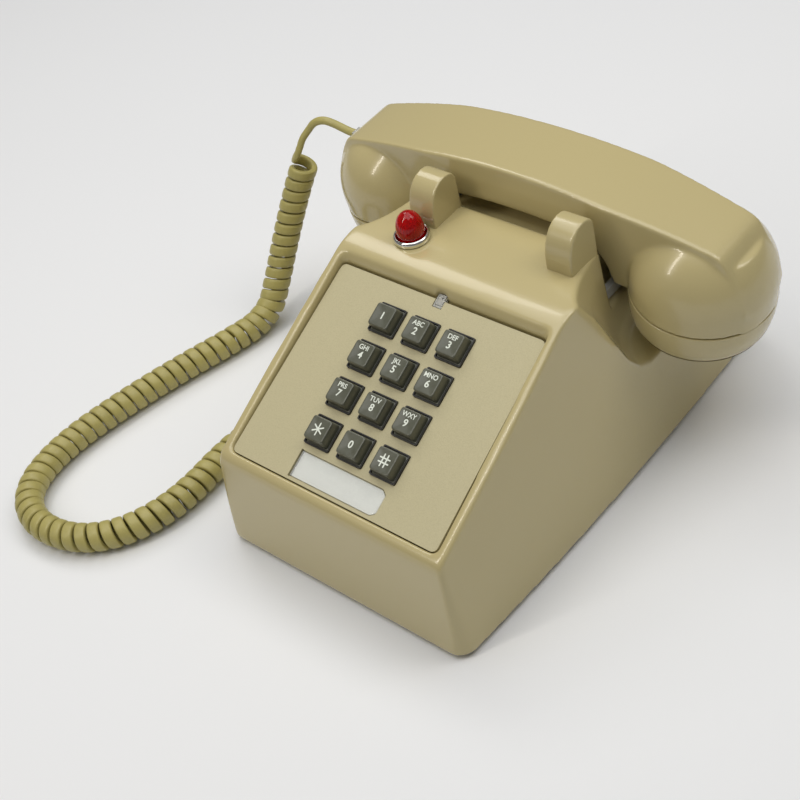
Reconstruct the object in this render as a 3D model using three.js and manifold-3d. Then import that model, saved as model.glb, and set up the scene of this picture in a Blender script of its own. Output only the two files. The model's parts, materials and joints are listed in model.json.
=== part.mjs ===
// Push-button desk telephone with a message lamp, as separate solids. Millimetres, +Z up.
// The handset lies along X, and the front of the phone faces -Y.
import * as THREE from 'three';
import { mergeVertices } from 'three/addons/utils/BufferGeometryUtils.js';
import Module from 'manifold-3d';

const wasm = await Module();
wasm.setup();

// ---------------------------------------------------------------- driving dimensions
const DEPTH = 228;                 // housing, front to back
const TABLE_GAP = 2;               // housing edge above the table
const WALL = 2.6;                  // moulded wall
const SIDE_TAPER = Math.tan(THREE.MathUtils.degToRad(7.8));
const HALF_WIDTH = 73.3;           // half the base width at its widest
const WIDEST_AT = 138;             // where that is, from the front
const BOW = 0.00026;               // how fast the sides draw in from there
const DECK_Z = 100.5;              // flat deck in front of the handset
const SADDLE_Z = 92;               // lower deck under the handle

const SLOPE = THREE.MathUtils.degToRad(24.5);
const PITCH = 18.2;                // key to key
const PAD_Y = 56.6;                // centre of the keypad
const PAD_Z = 74.7;
const PLATE = { top: 43.9, bottom: -50.8, halfTop: 54.6, halfBottom: 56.3, thick: 2 };   // from its centre
const WELL = 13.8;                 // square hole round each key
const KEY_BASE = 12.7;
const KEY_TOP = 10;
const KEY_RISE = 5.6;              // key top above the plate
const KEY_ROOT = -6;               // underside of a key, from the plate's face
const BOARD_H = -10.4;             // top of the contact board, from the plate's face

const LAMP = { x: -30, y: 117, lensR: 6.2, bezelR: 8.2, height: 14 };

const HANDSET_Y = 169;             // axis of the handset
const CUP_X = 80;                  // centre of each cup from the middle
const CUP_R = 31;
const CUP_DOME_Z = 82;
const SEAM_Z = 75;                 // joint between cup and screw cap
const CAP_FACE_Z = 52;
const HANDLE_TOP = 121.2;          // crest of the arched handle
const CUP_TILT = THREE.MathUtils.degToRad(8);  // the cups lean in towards each other
const FACET_END = { x: 98, z: 107.8 };

const JACK = { y: 86, z: 13 };     // handset jack in the left side of the base
const EXIT = { x: -109.5, y: 168, z: 98 };   // cord exit in the end of the handset
const COIL_R = 6.7;                // outside of the curly cord
const LEAD_R = 1.7;

const GAP = 0.3;

// ---------------------------------------------------------------- solid helpers
function bare(geometry) {
  geometry.deleteAttribute('normal');
  geometry.deleteAttribute('uv');
  return mergeVertices(geometry, 1e-5);
}

function solid(geometry) {
  const g = bare(geometry);
  const triVerts = Uint32Array.from(g.index.array);
  const vertProperties = Float32Array.from(g.attributes.position.array);
  let made = new wasm.Manifold(new wasm.Mesh({ numProp: 3, vertProperties, triVerts }));
  if (made.volume() < 0) {
    for (let i = 0; i < triVerts.length; i += 3) {
      [triVerts[i], triVerts[i + 1]] = [triVerts[i + 1], triVerts[i]];
    }
    made = new wasm.Manifold(new wasm.Mesh({ numProp: 3, vertProperties, triVerts }));
  }
  return made;
}

function geometryOf(made) {
  const mesh = made.getMesh();
  const geometry = new THREE.BufferGeometry();
  const points = new Float32Array(mesh.numVert * 3);
  for (let i = 0; i < mesh.numVert; i++) {
    for (let k = 0; k < 3; k++) points[3 * i + k] = mesh.vertProperties[mesh.numProp * i + k];
  }
  geometry.setAttribute('position', new THREE.BufferAttribute(points, 3));
  geometry.setIndex(new THREE.BufferAttribute(Uint32Array.from(mesh.triVerts), 1));
  geometry.computeVertexNormals();
  return geometry;
}

function box(x0, x1, y0, y1, z0, z1) {
  const g = new THREE.BoxGeometry(x1 - x0, y1 - y0, z1 - z0);
  g.translate((x0 + x1) / 2, (y0 + y1) / 2, (z0 + z1) / 2);
  return solid(g);
}

// A turned solid about a line parallel to Z: profile points are [radius, z].
function turned(profile, x, y, segments = 32) {
  const g = new THREE.LatheGeometry(profile.map(([r, z]) => new THREE.Vector2(r, z)), segments);
  g.rotateX(Math.PI / 2);
  g.translate(x, y, 0);
  return solid(g);
}

function rod(x, y, z0, z1, r, segments = 20) {
  return turned([[0, z0], [r, z0], [r, z1], [0, z1]], x, y, segments);
}

// A turned solid about a line parallel to X: profile points are [radius, x].
function turnedX(profile, y, z, segments = 24) {
  const g = new THREE.LatheGeometry(profile.map(([r, a]) => new THREE.Vector2(r, a)), segments);
  g.rotateZ(-Math.PI / 2);
  g.translate(0, y, z);
  return solid(g);
}

// A closed outline with its corners rounded: points are [a, b, radius].
function rounded(points) {
  const shape = new THREE.Shape();
  const n = points.length;
  for (let i = 0; i < n; i++) {
    const [a, b, r = 0] = points[i];
    const corner = new THREE.Vector2(a, b);
    const before = new THREE.Vector2(...points[(i + n - 1) % n]).sub(corner).normalize();
    const after = new THREE.Vector2(...points[(i + 1) % n]).sub(corner).normalize();
    const start = corner.clone().addScaledVector(before, r);
    const end = corner.clone().addScaledVector(after, r);
    if (i === 0) shape.moveTo(start.x, start.y);
    else shape.lineTo(start.x, start.y);
    if (r > 0) shape.quadraticCurveTo(corner.x, corner.y, end.x, end.y);
  }
  shape.closePath();
  return shape;
}

// Extrudes an outline given in (y, z) along X.
function alongX(shape, x0, x1, curveSegments = 6, bevel = 0) {
  const g = new THREE.ExtrudeGeometry(shape, {
    depth: x1 - x0 - 2 * bevel,
    curveSegments,
    bevelEnabled: bevel > 0,
    bevelThickness: bevel,
    bevelSize: bevel,
    bevelOffset: -bevel,
    bevelSegments: 2,
  });
  g.translate(0, 0, bevel);
  const m = new THREE.Matrix4();
  m.makeBasis(new THREE.Vector3(0, 1, 0), new THREE.Vector3(0, 0, 1), new THREE.Vector3(1, 0, 0));
  g.applyMatrix4(m);
  g.translate(x0, 0, 0);
  return solid(g);
}

// Extrudes an outline given in (x, y) up Z.
function alongZ(shape, z0, z1, curveSegments = 6) {
  const g = new THREE.ExtrudeGeometry(shape, { depth: z1 - z0, curveSegments, bevelEnabled: false });
  g.translate(0, 0, z0);
  return solid(g);
}

// Extrudes an outline given in (x, z) along Y.
function alongY(shape, y0, y1, curveSegments = 6) {
  const g = new THREE.ExtrudeGeometry(shape, { depth: y1 - y0, curveSegments, bevelEnabled: false });
  g.rotateX(Math.PI / 2);
  g.translate(0, y1, 0);
  return solid(g);
}

// A skin through rings of equal point counts, closed by a fan at each end.
function loft(rings) {
  const count = rings[0].length;
  const points = rings.flat();
  const index = [];
  for (let r = 0; r + 1 < rings.length; r++) {
    for (let i = 0; i < count; i++) {
      const a = r * count + i;
      const b = r * count + (i + 1) % count;
      index.push(a, b, b + count, a, b + count, a + count);
    }
  }
  for (const [ring, flip] of [[0, true], [rings.length - 1, false]]) {
    const middle = new THREE.Vector3();
    for (const p of rings[ring]) middle.addScaledVector(p, 1 / count);
    points.push(middle);
    const m = points.length - 1;
    for (let i = 0; i < count; i++) {
      const a = ring * count + i;
      const b = ring * count + (i + 1) % count;
      if (flip) index.push(b, a, m);
      else index.push(a, b, m);
    }
  }
  const g = new THREE.BufferGeometry().setFromPoints(points);
  g.setIndex(index);
  return solid(g);
}

// ---------------------------------------------------------------- assembly helpers
const phone = new THREE.Group();
phone.name = 'telephone';
phone.position.set(0, -DEPTH / 2, 0);

const plateFrame = new THREE.Group();
plateFrame.position.set(0, PAD_Y, PAD_Z);
plateFrame.rotation.x = SLOPE;
phone.add(plateFrame);
plateFrame.updateMatrix();

function add(name, made, look, parent = phone) {
  const geometry = made.isBufferGeometry ? made : geometryOf(made);
  const [color, roughness, metalness] = look;
  const mesh = new THREE.Mesh(geometry, new THREE.MeshStandardMaterial({ color, roughness, metalness }));
  mesh.name = name;
  parent.add(mesh);
  return mesh;
}

function inPlate(made) {
  return made.transform(plateFrame.matrix.elements.slice());
}

const BEIGE = [0xc6bb94, 0.3, 0];
const PLATE_BEIGE = [0xc8b896, 0.55, 0];
const KEY_GREY = [0x4a514c, 0.45, 0];
const BLACK = [0x17191a, 0.5, 0];
const CARD_WHITE = [0xe9eee8, 0.7, 0];
const CLEAR = [0xdfe6e4, 0.08, 0];
const RED = [0xb20d12, 0.12, 0];
const CHROME = [0xd5d6d2, 0.15, 1];
const STEEL = [0x9b9d9c, 0.4, 1];
const BRASS = [0xb8964f, 0.3, 1];
const RUBBER = [0x2a2a2a, 0.9, 0];
const CORD = [0xa39a68, 0.5, 0];
const GREY = [0x77797a, 0.5, 0];
const COPPER = [0x8c4a26, 0.4, 0.6];

// ---------------------------------------------------------------- housing
function halfWidthAt(y, z, inset) {
  return HALF_WIDTH - BOW * (y - WIDEST_AT) ** 2 - z * SIDE_TAPER - inset;
}

// The plan of the housing at one height, drawn in by inset.
function planRing(z, inset) {
  const right = [];
  const front = 8 - inset / 2;
  const rear = 16 - inset / 2;
  const y0 = inset;
  const y1 = DEPTH - inset;
  for (let i = 0; i <= 5; i++) {
    const t = (i / 5) * Math.PI / 2;
    const y = y0 + front * (1 - Math.cos(t));
    right.push([halfWidthAt(y, z, inset) - front * (1 - Math.sin(t)), y]);
  }
  for (let i = 1; i <= 8; i++) {
    const y = y0 + front + (y1 - rear - y0 - front) * i / 9;
    right.push([halfWidthAt(y, z, inset), y]);
  }
  for (let i = 0; i <= 6; i++) {
    const t = (i / 6) * Math.PI / 2;
    const y = y1 - rear * (1 - Math.sin(t));
    right.push([halfWidthAt(y, z, inset) - rear * (1 - Math.cos(t)), y]);
  }
  const left = right.map(([x, y]) => [-x, y]).reverse();
  return [...right, ...left].map(([x, y]) => new THREE.Vector3(x, y, z));
}

function planBlock(inset, z0, z1) {
  return loft([planRing(z0, inset), planRing(z1, inset)]);
}

const outerProfile = rounded([
  [0, TABLE_GAP, 0.5], [5.6, 52, 4.5], [105.8, 100.2, 8], [144.5, DECK_Z, 2.5],
  [148, SADDLE_Z, 2.5], [190.5, SADDLE_Z, 1.5], [193, 97, 2], [205, 97, 8], [217, 60, 26],
  [DEPTH, TABLE_GAP, 0.5],
]);
const innerProfile = rounded([
  [2.7, -5], [8.6, 45.7, 3], [108.8, 93.4, 4], [114, DECK_Z - WALL, 2], [141.6, DECK_Z - WALL, 2],
  [145, SADDLE_Z - WALL, 2], [202, SADDLE_Z - WALL, 4], [214, 60, 24], [225.3, -5],
]);

// The hollow that each cup of the handset hangs in, drawn out by the given wall.
function scoop(side, grow) {
  const levels = [
    [46, 26, 28, 26, 2], [49, 31, 34, 30, 2.1], [56, 32.6, 39, 33, 2.3], [72, 33, 46, 35, 2.6],
    [88, 33, 53, 36, 2.9], [100.5, 33.2, 62, 38, 3], [140, 34, 70, 42, 3],
  ];
  const rings = levels.map(([z, a, front, back, power], level) => {
    const ring = [];
    for (let i = 0; i < 36; i++) {
      const t = (i / 36) * 2 * Math.PI;
      const c = Math.cos(t);
      const s = Math.sin(t);
      const b = (s < 0 ? front : back) + grow;
      const x = (a + grow) * Math.sign(c) * Math.abs(c) ** (2 / power);
      const y = b * Math.sign(s) * Math.abs(s) ** (2 / power);
      ring.push(new THREE.Vector3(side * CUP_X + x, HANDSET_Y + y, level === 0 ? z - grow : z));
    }
    return ring;
  });
  return loft(rings);
}

const POCKET = { x0: 37.5, x1: 52, y0: 145.3, y1: 191.8, floor: 69 };
function pocket(side, grow) {
  const p = POCKET;
  const xs = [side * (p.x0 - grow), side * p.x1].sort((a, b) => a - b);
  return box(...xs, p.y0 - grow, p.y1 + grow, p.floor - grow, 140);
}

const RECESS = { half: 34, y0: 180, z0: 40, z1: 86 };
function carryRecess(grow) {
  const r = RECESS;
  const outline = rounded([
    [-r.half - grow, r.z0 - grow, 6], [r.half + grow, r.z0 - grow, 6],
    [r.half + grow, r.z1 + grow, 6], [-r.half - grow, r.z1 + grow, 6],
  ]);
  return alongY(outline, r.y0 - grow, 245, 4);
}

// The faceplate's outline, in the plane of the keypad.
function plateOutline(grow, radius) {
  const p = PLATE;
  return rounded([
    [-p.halfBottom - grow, p.bottom - grow, radius], [p.halfBottom + grow, p.bottom - grow, radius],
    [p.halfTop + grow, p.top + grow, radius], [-p.halfTop - grow, p.top + grow, radius],
  ]);
}

// An arched block that keeps the handset from sliding off the cradle.
function ear(x0, x1, y0, y1, top) {
  const run = y1 - y0;
  const shape = new THREE.Shape();
  shape.moveTo(y0, SADDLE_Z - 2);
  shape.lineTo(y0, Math.max(top - 14, SADDLE_Z));
  shape.quadraticCurveTo(y0 + 0.12 * run, top - 1, y0 + 0.62 * run, top);
  shape.lineTo(y1 - 2, top - 0.3);
  shape.quadraticCurveTo(y1, top - 0.6, y1, top - 3);
  shape.lineTo(y1, SADDLE_Z - 2);
  shape.closePath();
  return alongX(shape, x0, x1, 6, 0.9);
}

const STEM = { x0: 39.4, x1: 43.6, y0: 164, y1: 174 };
const SCREWS = [[0, 8.6, 37], [0, 213.8, 37.6]];
const LINE_JACK = { x: 30, z: 14 };

function housingShell() {
  let outer = alongX(outerProfile, -90, 90, 8).intersect(planBlock(0, -2, 145));
  let inner = alongX(innerProfile, -90, 90, 5).intersect(planBlock(WALL, -8, 145));
  for (const side of [-1, 1]) {
    outer = outer.subtract(scoop(side, 0)).subtract(pocket(side, 0));
    inner = inner.subtract(scoop(side, WALL)).subtract(pocket(side, WALL));
  }
  outer = outer.subtract(carryRecess(0));
  inner = inner.subtract(carryRecess(WALL));
  let shell = outer.subtract(inner);
  const seat = alongZ(plateOutline(0.35, 3.3), -PLATE.thick - GAP, 28, 4);
  const through = alongZ(plateOutline(-2.6, 2), -20, 10, 3);
  shell = shell.subtract(inPlate(seat)).subtract(inPlate(through));
  shell = shell.subtract(inPlate(box(-3.2, 3.2, 40, 47.4, -PLATE.thick - GAP, 8)));
  shell = shell.add(ear(34.5, 47.5, 126, 144.4, 120.5)).add(ear(-37.5, -24, 126, 144.4, 120.5));
  shell = shell.add(ear(34.8, 47.2, 192.5, 199.5, 101.5)).add(ear(-47.2, -34.8, 192.5, 199.5, 101.5));
  for (const side of [-1, 1]) {
    const xs = [side * (STEM.x0 - 0.4), side * (STEM.x1 + 0.4)].sort((a, b) => a - b);
    shell = shell.subtract(box(...xs, STEM.y0 - 0.5, STEM.y1 + 0.5, 60, 75));
  }
  shell = shell.subtract(rod(LAMP.x, LAMP.y, 92, 108, LAMP.lensR + 0.4, 32));
  for (const [x, y, top] of SCREWS) {
    shell = shell.add(rod(x, y, 4.2, top, 4.2, 20));
    shell = shell.subtract(rod(x, y, 3, 20, 1.7, 16));
  }
  shell = shell.subtract(box(-90, -60, JACK.y - 7.3, JACK.y + 7.3, JACK.z - 6.3, JACK.z + 6.3));
  const line = LINE_JACK;
  return shell.subtract(box(line.x - 7.3, line.x + 7.3, 215, 235, line.z - 6.3, line.z + 6.3));
}

// ---------------------------------------------------------------- faceplate and keypad
const CARD = { u0: -23.3, u1: 23.3, v0: -49.1, v1: -37.4 };
function cardOutline(grow) {
  const c = CARD;
  return rounded([
    [c.u0 - grow, c.v0 - grow, 0.4], [c.u1 + grow, c.v0 - grow, 5], [c.u1 + grow, c.v1 + grow, 5],
    [c.u0 - grow, c.v1 + grow, 0.4],
  ]);
}

const LATCH = { half: 2.2, v0: 40.6, v1: 46.6 };
function faceplate() {
  let plate = alongZ(plateOutline(0, 3), -PLATE.thick, 0, 4);
  for (let row = 0; row < 4; row++) {
    for (let column = 0; column < 3; column++) {
      const u = (column - 1) * PITCH;
      const v = (1.5 - row) * PITCH;
      const half = WELL / 2;
      plate = plate.subtract(box(u - half, u + half, v - half, v + half, -5, 5));
    }
  }
  plate = plate.subtract(alongZ(cardOutline(0.25), -1.6, 3, 4));
  plate = plate.subtract(box(CARD.u0 - 2.4, CARD.u0 + 1, CARD.v0 + 0.4, CARD.v1 - 0.4, -1.6, 3));
  return plate.subtract(box(-LATCH.half - GAP, LATCH.half + GAP, LATCH.v0 - GAP, 50, -5, 5));
}

// A square key with sloping skirts.
function key() {
  const ring = (half, h, corner) => {
    const points = [];
    for (const [sx, sy, start] of [[1, 1, 0], [-1, 1, 1], [-1, -1, 2], [1, -1, 3]]) {
      for (let i = 0; i <= 3; i++) {
        const t = (start + i / 3) * Math.PI / 2;
        points.push(new THREE.Vector3(
          sx * (half - corner) + corner * Math.cos(t),
          sy * (half - corner) + corner * Math.sin(t),
          h,
        ));
      }
    }
    return points;
  };
  return loft([
    ring(KEY_BASE / 2, KEY_ROOT, 0.6), ring(KEY_BASE / 2, 0.8, 0.6),
    ring(KEY_TOP / 2 + 0.25, KEY_RISE - 0.7, 0.7), ring(KEY_TOP / 2, KEY_RISE - 0.15, 0.8),
    ring(KEY_TOP / 2 - 0.6, KEY_RISE, 0.8),
  ]);
}

function keypadBody() {
  let body = box(-29.5, 29.5, -36.4, 36.4, BOARD_H + GAP, -PLATE.thick - GAP);
  for (let row = 0; row < 4; row++) {
    for (let column = 0; column < 3; column++) {
      const u = (column - 1) * PITCH;
      const v = (1.5 - row) * PITCH;
      const half = KEY_BASE / 2 + GAP;
      body = body.subtract(box(u - half, u + half, v - half, v + half, -20, 5));
    }
  }
  return body;
}

const KEY_NAMES = ['key_1', 'key_2', 'key_3', 'key_4', 'key_5', 'key_6', 'key_7', 'key_8', 'key_9',
  'key_star', 'key_0', 'key_hash'];

// ---------------------------------------------------------------- lamp
function lampLens() {
  const r = LAMP.lensR;
  const top = DECK_Z + LAMP.height;
  const outside = [[r - 0.4, 93]];
  const straight = top - 8.5;
  outside.push([r, 93.4], [r, straight]);
  for (let i = 1; i <= 6; i++) {
    const t = (i / 6) * Math.PI / 2;
    outside.push([r * Math.cos(t), straight + 8.5 * Math.sin(t)]);
  }
  const inside = [];
  for (let i = 6; i >= 0; i--) {
    const t = (i / 6) * Math.PI / 2;
    inside.push([(r - 1.1) * Math.cos(t), straight - 0.4 + 7.4 * Math.sin(t)]);
  }
  inside.push([r - 1.1, 93]);
  outside[outside.length - 1][0] = 0;
  inside[0][0] = 0;
  return turned([...outside, ...inside, [r - 0.4, 93]], LAMP.x, LAMP.y, 20);
}

function lampBezel() {
  const { lensR, bezelR } = LAMP;
  const z = DECK_Z + GAP;
  return turned([
    [lensR + 0.3, z], [bezelR, z], [bezelR, z + 1.2], [bezelR - 0.5, z + 2.3], [bezelR - 1.2, z + 2.6],
    [lensR + 0.3, z + 2.2], [lensR + 0.3, z],
  ], LAMP.x, LAMP.y, 32);
}

function lampBulb() {
  const z = 92;
  return turned([
    [0, z], [2.2, z], [2.2, z + 7], [2.8, z + 8], [2.9, z + 12], [2.2, z + 14.5], [1, z + 15.6],
    [0, z + 15.8],
  ], LAMP.x, LAMP.y, 16);
}

function lampSocket() {
  const r = LAMP.lensR + 1.6;
  return turned([[0, 86], [r, 86], [r, 92.6], [r - 0.8, 92.7], [2.5, 92.7], [2.5, 91.7], [0, 91.7]],
    LAMP.x, LAMP.y, 24);
}

// ---------------------------------------------------------------- cradle and hookswitch
function plunger(side) {
  const flip = (x0, x1) => (side > 0 ? [x0, x1] : [-x1, -x0]);
  const bar = box(...flip(STEM.x1 - 0.1, 46.6), POCKET.y0 + 0.5, POCKET.y1 - 0.5, 71, 76);
  const paddle = box(...flip(STEM.x0, STEM.x1), 160, 178, 71, 90.2);
  const stem = box(...flip(STEM.x0, STEM.x1), STEM.y0, STEM.y1, 56, 72);
  return paddle.add(bar).add(stem);
}

const PIVOT = { y: 148, z: 40 };
function hookLever() {
  const axle = turnedX([[0, -44], [2, -44], [2, 44], [0, 44]], PIVOT.y, PIVOT.z, 20);
  let lever = axle;
  for (const side of [-1, 1]) {
    const arm = rounded([
      [145, 37.4, 1], [150, 37.2, 1], [168, 50.6, 0.5], [174, 51.5, 0.5], [174, 53.5, 0.3],
      [164.5, 53.7, 0.5], [146, 43, 1],
    ]);
    const xs = [side * 36.8, side * 40.4].sort((a, b) => a - b);
    const pad = [side * 36.8, side * 43.8].sort((a, b) => a - b);
    lever = lever.add(alongX(arm, ...xs, 2)).add(box(...pad, 165, 173.5, 51.6, 53.5));
  }
  const finger = box(-3, 3, 139.5, 148, 39, 41);
  return lever.add(finger);
}

function hookBracket() {
  let bracket = box(-42.5, 42.5, 126, 158, 4.2, 5.7);
  for (const side of [-1, 1]) {
    const xs = [side * 41, side * 42.5].sort((a, b) => a - b);
    const cheek = rounded([[138, 5, 0], [158, 5, 0], [153, 45.5, 4], [143, 45.5, 4]]);
    bracket = bracket.add(alongX(cheek, ...xs, 4));
  }
  const hole = turnedX([[0, -60], [2.3, -60], [2.3, 60], [0, 60]], PIVOT.y, PIVOT.z, 24);
  return bracket.subtract(hole);
}

function contactStack() {
  let stack = box(-9, 9, 127, 137.5, 6, 34);
  for (const z of [36, 39.2, 42.4]) stack = stack.add(box(-5, 5, 127.5, 137, z - 3, z - 0.6));
  return stack.add(box(-4, 4, 128, 133, 30, 44));
}

// ---------------------------------------------------------------- base
function basePlate() {
  let plate = planBlock(WALL + 0.6, 2.3, 3.8).intersect(box(-90, 90, 4.9, 222.4, 0, 6));
  for (const [x, y] of SCREWS) plate = plate.subtract(rod(x, y, 0, 6, 2.1, 16));
  return plate.subtract(box(37.6, 42.4, 97, 115, 0, 6));
}

function foot(x, y) {
  return turned([[0, 0], [6.6, 0], [7.4, 0.5], [7.4, 2], [0, 2]], x, y, 28);
}

function housingScrew(x, y) {
  return turned([[0, 0.7], [3.1, 0.7], [3.4, 1.2], [3.4, 2], [1.4, 2], [1.4, 16], [0, 17]], x, y, 16);
}

function networkBlock() {
  let block = box(-33, 33, 173, 208, 4.2, 22);
  for (let i = 0; i < 7; i++) {
    block = block.add(rod(-27 + i * 9, 177, 21, 24, 2.4, 10));
    block = block.add(rod(-27 + i * 9, 204, 21, 24, 2.4, 10));
  }
  return block.add(box(-24, 24, 184, 197, 21, 30));
}

// ---------------------------------------------------------------- ringer
const CLAPPER = { x: -1, y: 90, ballY: 66, z: 14.5 };
const WHEEL = { y: 106, z: 13 };
function ringerFrame() {
  let frame = box(-46, 36, 46, 116, 4.2, 5.7);
  for (const x of [-29, 29]) frame = frame.add(rod(x, 66, 5, 20, 3.2, 16)).add(rod(x, 66, 19, 24, 1.7, 16));
  frame = frame.add(rod(CLAPPER.x, CLAPPER.y, 5, 21, 1.4, 14));
  frame = frame.add(box(34, 36, 101, 111, 5, 19));
  return frame.add(turnedX([[0, 35], [1.5, 35], [1.5, 43.6], [0, 43.6]], WHEEL.y, WHEEL.z, 16));
}

function gong(x, r) {
  return turned([
    [2.1, 20.4], [r * 0.55, 20], [r * 0.86, 18.2], [r - 1.1, 14.6], [r - 1.1, 11.5], [r, 11.5], [r, 15],
    [r * 0.9, 19.2], [r * 0.58, 21.4], [2.1, 21.9], [2.1, 20.4],
  ], x, 66, 26);
}

function clapper() {
  const c = CLAPPER;
  let arm = rod(c.x, c.y, c.z - 2.5, c.z + 2.5, 3.4, 18);
  arm = arm.add(box(c.x - 0.8, c.x + 0.8, c.ballY + 1.5, c.y - 2.5, c.z - 0.8, c.z + 0.8));
  arm = arm.add(box(c.x - 6, c.x + 6, c.y + 2.6, c.y + 4.8, c.z - 2.5, c.z + 2.5));
  arm = arm.subtract(rod(c.x, c.y, 0, 30, 1.8, 16));
  const ball = new THREE.SphereGeometry(2.5, 14, 10);
  ball.translate(c.x, c.ballY, c.z);
  return arm.add(solid(ball));
}

function ringerCoil() {
  return turnedX([
    [0, -20], [11, -20], [11, -18], [8.6, -18], [8.6, 18], [11, 18], [11, 20], [0, 20],
  ], 110, 17.5, 24);
}

function volumeWheel() {
  const shape = new THREE.Shape();
  for (let i = 0; i < 48; i++) {
    const t = (i / 48) * 2 * Math.PI;
    const r = i % 4 < 2 ? 12 : 11.2;
    if (i === 0) shape.moveTo(WHEEL.y + r, WHEEL.z);
    else shape.lineTo(WHEEL.y + r * Math.cos(t), WHEEL.z + r * Math.sin(t));
  }
  shape.closePath();
  const hole = turnedX([[0, 30], [1.9, 30], [1.9, 50], [0, 50]], WHEEL.y, WHEEL.z, 16);
  return alongX(shape, 38.6, 41.4, 4).subtract(hole);
}

// ---------------------------------------------------------------- handset
function handleOutline() {
  const shape = new THREE.Shape();
  const f = FACET_END;
  shape.moveTo(0, HANDLE_TOP);
  for (let i = 1; i <= 8; i++) {
    const x = f.x * i / 8;
    shape.lineTo(x, HANDLE_TOP - (HANDLE_TOP - f.z) * (x / f.x) ** 2);
  }
  shape.quadraticCurveTo(107.5, 97, 108.6, 66);
  shape.lineTo(CUP_X - CUP_R, 66);
  shape.quadraticCurveTo(CUP_X - CUP_R, 97, 30, 100.4);
  shape.quadraticCurveTo(15, 102, 0, 102);
  shape.quadraticCurveTo(-15, 102, -30, 100.4);
  shape.quadraticCurveTo(CUP_R - CUP_X, 97, CUP_R - CUP_X, 66);
  shape.lineTo(-108.6, 66);
  shape.quadraticCurveTo(-107.5, 97, -f.x, f.z);
  for (let i = 7; i >= 1; i--) {
    const x = f.x * i / 8;
    shape.lineTo(-x, HANDLE_TOP - (HANDLE_TOP - f.z) * (x / f.x) ** 2);
  }
  shape.closePath();
  return shape;
}

// Leans a solid over with the cup on one side, about the middle of its seam.
function inCup(made, side) {
  const lean = new THREE.Matrix4().makeRotationY(side * CUP_TILT);
  const pivot = new THREE.Vector3(side * CUP_X, HANDSET_Y, SEAM_Z);
  const m = new THREE.Matrix4().makeTranslation(pivot).multiply(lean);
  m.multiply(new THREE.Matrix4().makeTranslation(pivot.clone().negate()));
  return made.transform(m.elements.slice());
}

function handsetHandle() {
  const y = HANDSET_Y;
  const section = rounded([
    [y - 18, 122], [y - 20.5, 104], [y - 20.5, 70], [y + 20.5, 70], [y + 20.5, 104], [y + 18, 122],
  ]);
  const front = [[-112, -14.6], [-97, -15.2], [-40, -19.4, 20], [40, -19.4, 20], [97, -15.2], [112, -14.6]];
  const rear = front.map(([x, v, r]) => [x, -v, r]).reverse();
  const plan = rounded([...front, ...rear].map(([x, v, r]) => [x, y + v, r]));
  let handle = alongY(handleOutline(), y - 25, y + 25, 7);
  const roof = alongY(handleOutline(), y - 40, y + 40, 7);
  handle = handle.intersect(alongX(section, -120, 120)).intersect(alongZ(plan, 60, 130, 6));
  for (const side of [-1, 1]) {
    const dome = new THREE.SphereGeometry(CUP_R, 32, 20);
    dome.rotateX(Math.PI / 2);
    dome.translate(side * CUP_X, y, CUP_DOME_Z);
    const top = solid(dome).intersect(box(-120, 120, y - 40, y + 40, CUP_DOME_Z, 130));
    const cup = inCup(top.add(rod(side * CUP_X, y, SEAM_Z, CUP_DOME_Z + 0.01, CUP_R, 32)), side);
    handle = handle.add(cup.intersect(box(-130, 130, y - 40, y + 40, 60, 101).add(roof)));
    const below = box(side * CUP_X - 50, side * CUP_X + 50, y - 50, y + 50, 40, SEAM_Z);
    const hollow = rod(side * CUP_X, y, 60, 88, 27.3, 32);
    handle = handle.subtract(inCup(below, side)).subtract(inCup(hollow, side));
  }
  return handle.subtract(box(-120, -96.5, EXIT.y - 6.6, EXIT.y + 6.6, EXIT.z - 5.6, EXIT.z + 5.6));
}

// A screw cap, open towards the handle, with rings of sound holes in its face.
function cap(side, holes) {
  const z = SEAM_Z - GAP;
  const face = CAP_FACE_Z;
  let made = turned([
    [0, face], [14, face + 0.3], [21, face + 1.6], [25.6, face + 4], [28.8, face + 8], [30.4, face + 13],
    [CUP_R, face + 19], [CUP_R, z], [26.9, z], [26.9, 80], [24.4, 80],
    [24.4, face + 6.5], [20, face + 4], [14, face + 2.9], [0, face + 2.6],
  ], side * CUP_X, HANDSET_Y, 32);
  for (const [r, count] of holes) {
    for (let i = 0; i < count; i++) {
      const t = (i / count) * 2 * Math.PI;
      const x = side * CUP_X + r * Math.cos(t);
      made = made.subtract(rod(x, HANDSET_Y + r * Math.sin(t), face - 2, face + 5.4, 1.1, 8));
    }
  }
  return inCup(made, side);
}

function capsule(side, z0, z1, r) {
  const made = turned([
    [0, z0], [r - 5, z0], [r - 4, z0 + 1.2], [r, z0 + 2.6], [r, z1 - 2], [r - 3, z1], [0, z1],
  ], side * CUP_X, HANDSET_Y, 28);
  return inCup(made, side);
}

// A square socket, hollowed by the box given as its mouth.
function jackBlock(x0, x1, y0, y1, z0, z1, mouth) {
  return box(x0, x1, y0, y1, z0, z1).subtract(box(...mouth));
}

// ---------------------------------------------------------------- cord
function tubeAlong(points, r, sides, steps) {
  const path = new THREE.CatmullRomCurve3(points.map(([x, y, z]) => new THREE.Vector3(x, y, z)));
  const shape = new THREE.Shape();
  for (let i = 0; i < sides; i++) {
    const t = (i / sides) * 2 * Math.PI;
    if (i === 0) shape.moveTo(r, 0);
    else shape.lineTo(r * Math.cos(t), r * Math.sin(t));
  }
  shape.closePath();
  const g = new THREE.ExtrudeGeometry(shape, { steps, bevelEnabled: false, extrudePath: path });
  return solid(g);
}

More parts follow.
